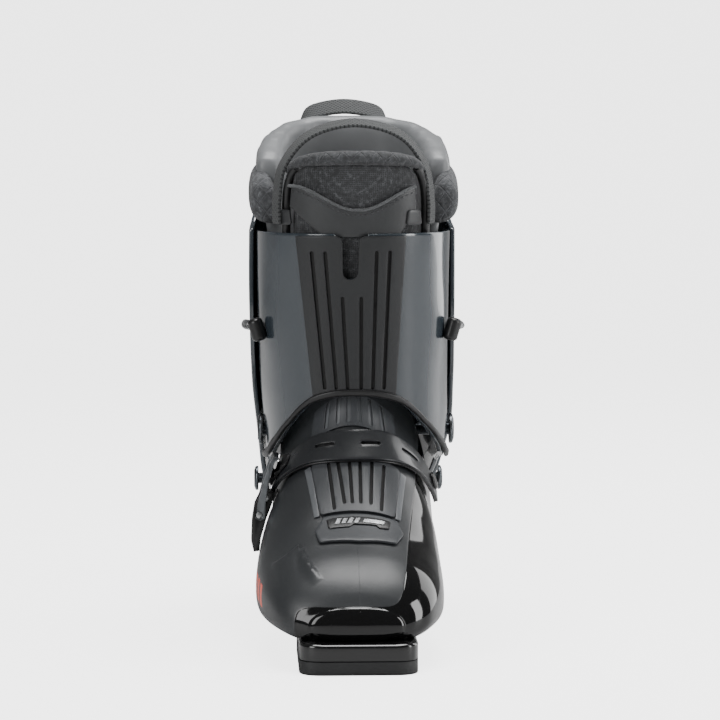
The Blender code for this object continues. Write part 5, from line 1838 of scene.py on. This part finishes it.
class SKIBOOT_OT_instep_buckle(bpy.types.Operator):
    """Refines the buckle over the instep: base, lever, pins and alloy bail."""

    bl_idname = "skiboot.instep_buckle"
    bl_label = "Instep Buckle"

    def execute(self, context):
        alloy = plain_alloy()
        bail = brushed_alloy("Bail alloy", (0.13, 0.138, 0.145), 0.34)
        refine("buckle_base", "root", "black_plastic", black_part())
        refine("instep_lever_pin", "root", "steel", alloy, 0.25 * MM)
        refine("instep_lever", "instep_lever", "buckle_alloy", black_part(), 0.6 * MM)
        refine("bail_pin", "instep_lever", "steel", alloy, 0.25 * MM)
        refine("instep_bail", "instep_bail", "buckle_alloy", bail)
        return {"FINISHED"}


class SKIBOOT_OT_closing_lever(bpy.types.Operator):
    """Refines the lever at the back with its base, pin and cable guides."""

    bl_idname = "skiboot.closing_lever"
    bl_label = "Closing Lever"

    def execute(self, context):
        refine("lever_base", "rear_cuff", "black_plastic", black_part())
        refine("closing_lever_pin", "rear_cuff", "steel", plain_alloy(), 0.25 * MM)
        dark = moulded_plastic("Lever plastic", tuple(lighter(colours().cuff, 0.8)), 0.25, coat=0.4)
        refine("closing_lever", "closing_lever", "buckle_alloy", dark, 0.8 * MM)
        for side in ("left", "right"):
            refine(f"cable_guide_{side}", "rear_cuff", "black_plastic", black_part())
        return {"FINISHED"}


class SKIBOOT_OT_cables(bpy.types.Operator):
    """Builds the closing cable's two runs, from the anchors to the lever's base."""

    bl_idname = "skiboot.cables"
    bl_label = "Closing Cables"

    def execute(self, context):
        steel = wire_rope("Wound steel cable", (0.5, 0.51, 0.52))
        out = 8.9 * MM
        for name, side in (("left", -1), ("right", 1)):
            z = 187 * MM
            anchor = cuff_point(z, cuff_angle_at_y(z, -8 * MM, side))
            anchor += Vector((side * 6.8 * MM, 5.6 * MM, 0))
            points = [anchor, cuff_point(z, cuff_angle_at_y(z, 15 * MM, side, out), out)]
            for degrees, height in ((100, 186), (113, 184), (133, 180), (153, 174.5)):
                points.append(cuff_point(height * MM, side * math.radians(degrees), out))
            z = 171 * MM
            x = CUFF_MIDDLE + side * 17.5 * MM
            angle = side * math.pi - cuff_angle_at_x(z, x, out)
            points.append(cuff_point(z, angle, out))
            cable = tube(f"wound_cable_{name}", smooth_line(points, 14), 1.6 * MM, 14)
            hand_over(cable, None, "steel_cable", steel, f"cable_{name}")
            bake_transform(cable)
        return {"FINISHED"}


# ---------------------------------------------------------------- stage


SUBJECT_MIDDLE = (0, 0, 0.17)
# Name, place, width, height and power of each light.
SOFTBOXES = (
    ("top_softbox", (0.1, 0.15, 1.5), 0.9, 0.8, 30),
    ("left_softbox", (-1.1, -1.2, 0.8), 0.7, 1.2, 17),
    ("right_softbox", (1.28, -0.57, 0.42), 0.36, 1.3, 16),
    ("rear_softbox", (1.15, 0.75, 0.45), 0.7, 1.3, 10),
)
FLOOR_FRONT = -3.0
FLOOR_LENGTH = 8.0
FLOOR_FLAT_END = 1.6
CAMERA_PLACE = (-0.0774, -1.9892, 0.3589)
CAMERA_AIM = (0.0025, 0, 0.1672)
CAMERA_LENS = 162.15
CAMERA_SENSOR = 36


def area_light(name, place, width, height, watts):
    deselect()
    bpy.ops.object.light_add(type="AREA", location=place)
    light = bpy.context.object
    light.name = name
    light.data.shape = "RECTANGLE"
    light.data.size = width
    light.data.size_y = height
    light.data.energy = watts
    aim = Vector(SUBJECT_MIDDLE) - Vector(place)
    light.rotation_euler = aim.to_track_quat("-Z", "Y").to_euler()
    return light


class SKIBOOT_OT_stage(bpy.types.Operator):
    """Sets a plain pale floor, soft studio light and the camera."""

    bl_idname = "skiboot.stage"
    bl_label = "Stage"

    def execute(self, context):
        deselect()
        bpy.ops.mesh.primitive_grid_add(x_subdivisions=2, y_subdivisions=60, size=2)
        floor = bpy.context.object
        floor.name = "pale_floor"
        for vertex in floor.data.vertices:
            along = (vertex.co.y + 1) / 2 * FLOOR_LENGTH + FLOOR_FRONT
            bend = max(0.0, min(math.pi / 2, along - FLOOR_FLAT_END))
            rise = max(0.0, along - FLOOR_FLAT_END - math.pi / 2)
            place = min(along, FLOOR_FLAT_END) + math.sin(bend)
            vertex.co = (vertex.co.x * 4, place, 1 - math.cos(bend) + rise)
        soften(floor, 60)
        finish, tree, shader, place = blank("Pale floor")
        broad = add(tree, "ShaderNodeTexNoise", {"Vector": place, "Scale": 3.0})
        tone = mixed(tree, broad.outputs[0], (0.58, 0.58, 0.58), (0.62, 0.62, 0.62))
        rays = add(tree, "ShaderNodeLightPath")
        glow = calculate(tree, "MULTIPLY", rays.outputs["Is Camera Ray"], 3.2)
        give(tree, shader, {"Base Color": tone, "Roughness": 0.6})
        give(tree, shader, {"Emission Strength": glow, "Emission Color": (1, 1, 1, 1)})
        floor.data.materials.append(finish)
        world = bpy.data.worlds.new("Studio white")
        bpy.context.scene.world = world
        world.use_nodes = True
        sky = world.node_tree
        sky.nodes["Background"].inputs["Strength"].default_value = 0.16
        sky.nodes["Background"].inputs["Color"].default_value = (1, 1, 1, 1)
        top, left, right, rear = (area_light(*softbox) for softbox in SOFTBOXES)
        deselect()
        bpy.ops.object.camera_add(location=CAMERA_PLACE)
        camera = bpy.context.object
        camera.name = "studio_camera"
        camera.data.lens = CAMERA_LENS
        camera.data.sensor_width = CAMERA_SENSOR
        aim = Vector(CAMERA_AIM) - camera.location
        camera.rotation_euler = aim.to_track_quat("-Z", "Y").to_euler()
        context.scene.camera = camera
        return {"FINISHED"}


# ---------------------------------------------------------------- add-on


class SKIBOOT_PT_panel(bpy.types.Panel):
    """Lists the boot's building steps."""

    bl_idname = "SKIBOOT_PT_panel"
    bl_label = "Ski Boot"
    bl_space_type = "VIEW_3D"
    bl_region_type = "UI"
    bl_category = "Ski Boot"

    def draw(self, context):
        column = self.layout.column()
        for step in STEPS:
            column.operator(step.bl_idname)


STEPS = (
    SKIBOOT_OT_lower_shell,
    SKIBOOT_OT_sole,
    SKIBOOT_OT_instep_panels,
    SKIBOOT_OT_foot_liner,
    SKIBOOT_OT_front_cuff,
    SKIBOOT_OT_rear_cuff,
    SKIBOOT_OT_rivets,
    SKIBOOT_OT_tongue,
    SKIBOOT_OT_rear_liner,
    SKIBOOT_OT_pull_loops,
    SKIBOOT_OT_strap,
    SKIBOOT_OT_instep_buckle,
    SKIBOOT_OT_closing_lever,
    SKIBOOT_OT_cables,
    SKIBOOT_OT_stage,
)
CLASSES = (BootSizes, BootColours, *STEPS, SKIBOOT_PT_panel)


def register():
    for kind in CLASSES:
        bpy.utils.register_class(kind)
    bpy.types.Scene.boot_sizes = bpy.props.PointerProperty(type=BootSizes)
    bpy.types.Scene.boot_colours = bpy.props.PointerProperty(type=BootColours)


def unregister():
    del bpy.types.Scene.boot_colours
    del bpy.types.Scene.boot_sizes
    for kind in reversed(CLASSES):
        bpy.utils.unregister_class(kind)


def main():
    register()
    bpy.ops.skiboot.lower_shell()
    bpy.ops.skiboot.sole()
    bpy.ops.skiboot.instep_panels()
    bpy.ops.skiboot.foot_liner()
    bpy.ops.skiboot.front_cuff()
    bpy.ops.skiboot.rear_cuff()
    bpy.ops.skiboot.rivets()
    bpy.ops.skiboot.tongue()
    bpy.ops.skiboot.rear_liner()
    bpy.ops.skiboot.pull_loops()
    bpy.ops.skiboot.strap()
    bpy.ops.skiboot.instep_buckle()
    bpy.ops.skiboot.closing_lever()
    bpy.ops.skiboot.cables()
    bpy.ops.skiboot.stage()


if __name__ == "__main__":
    main()
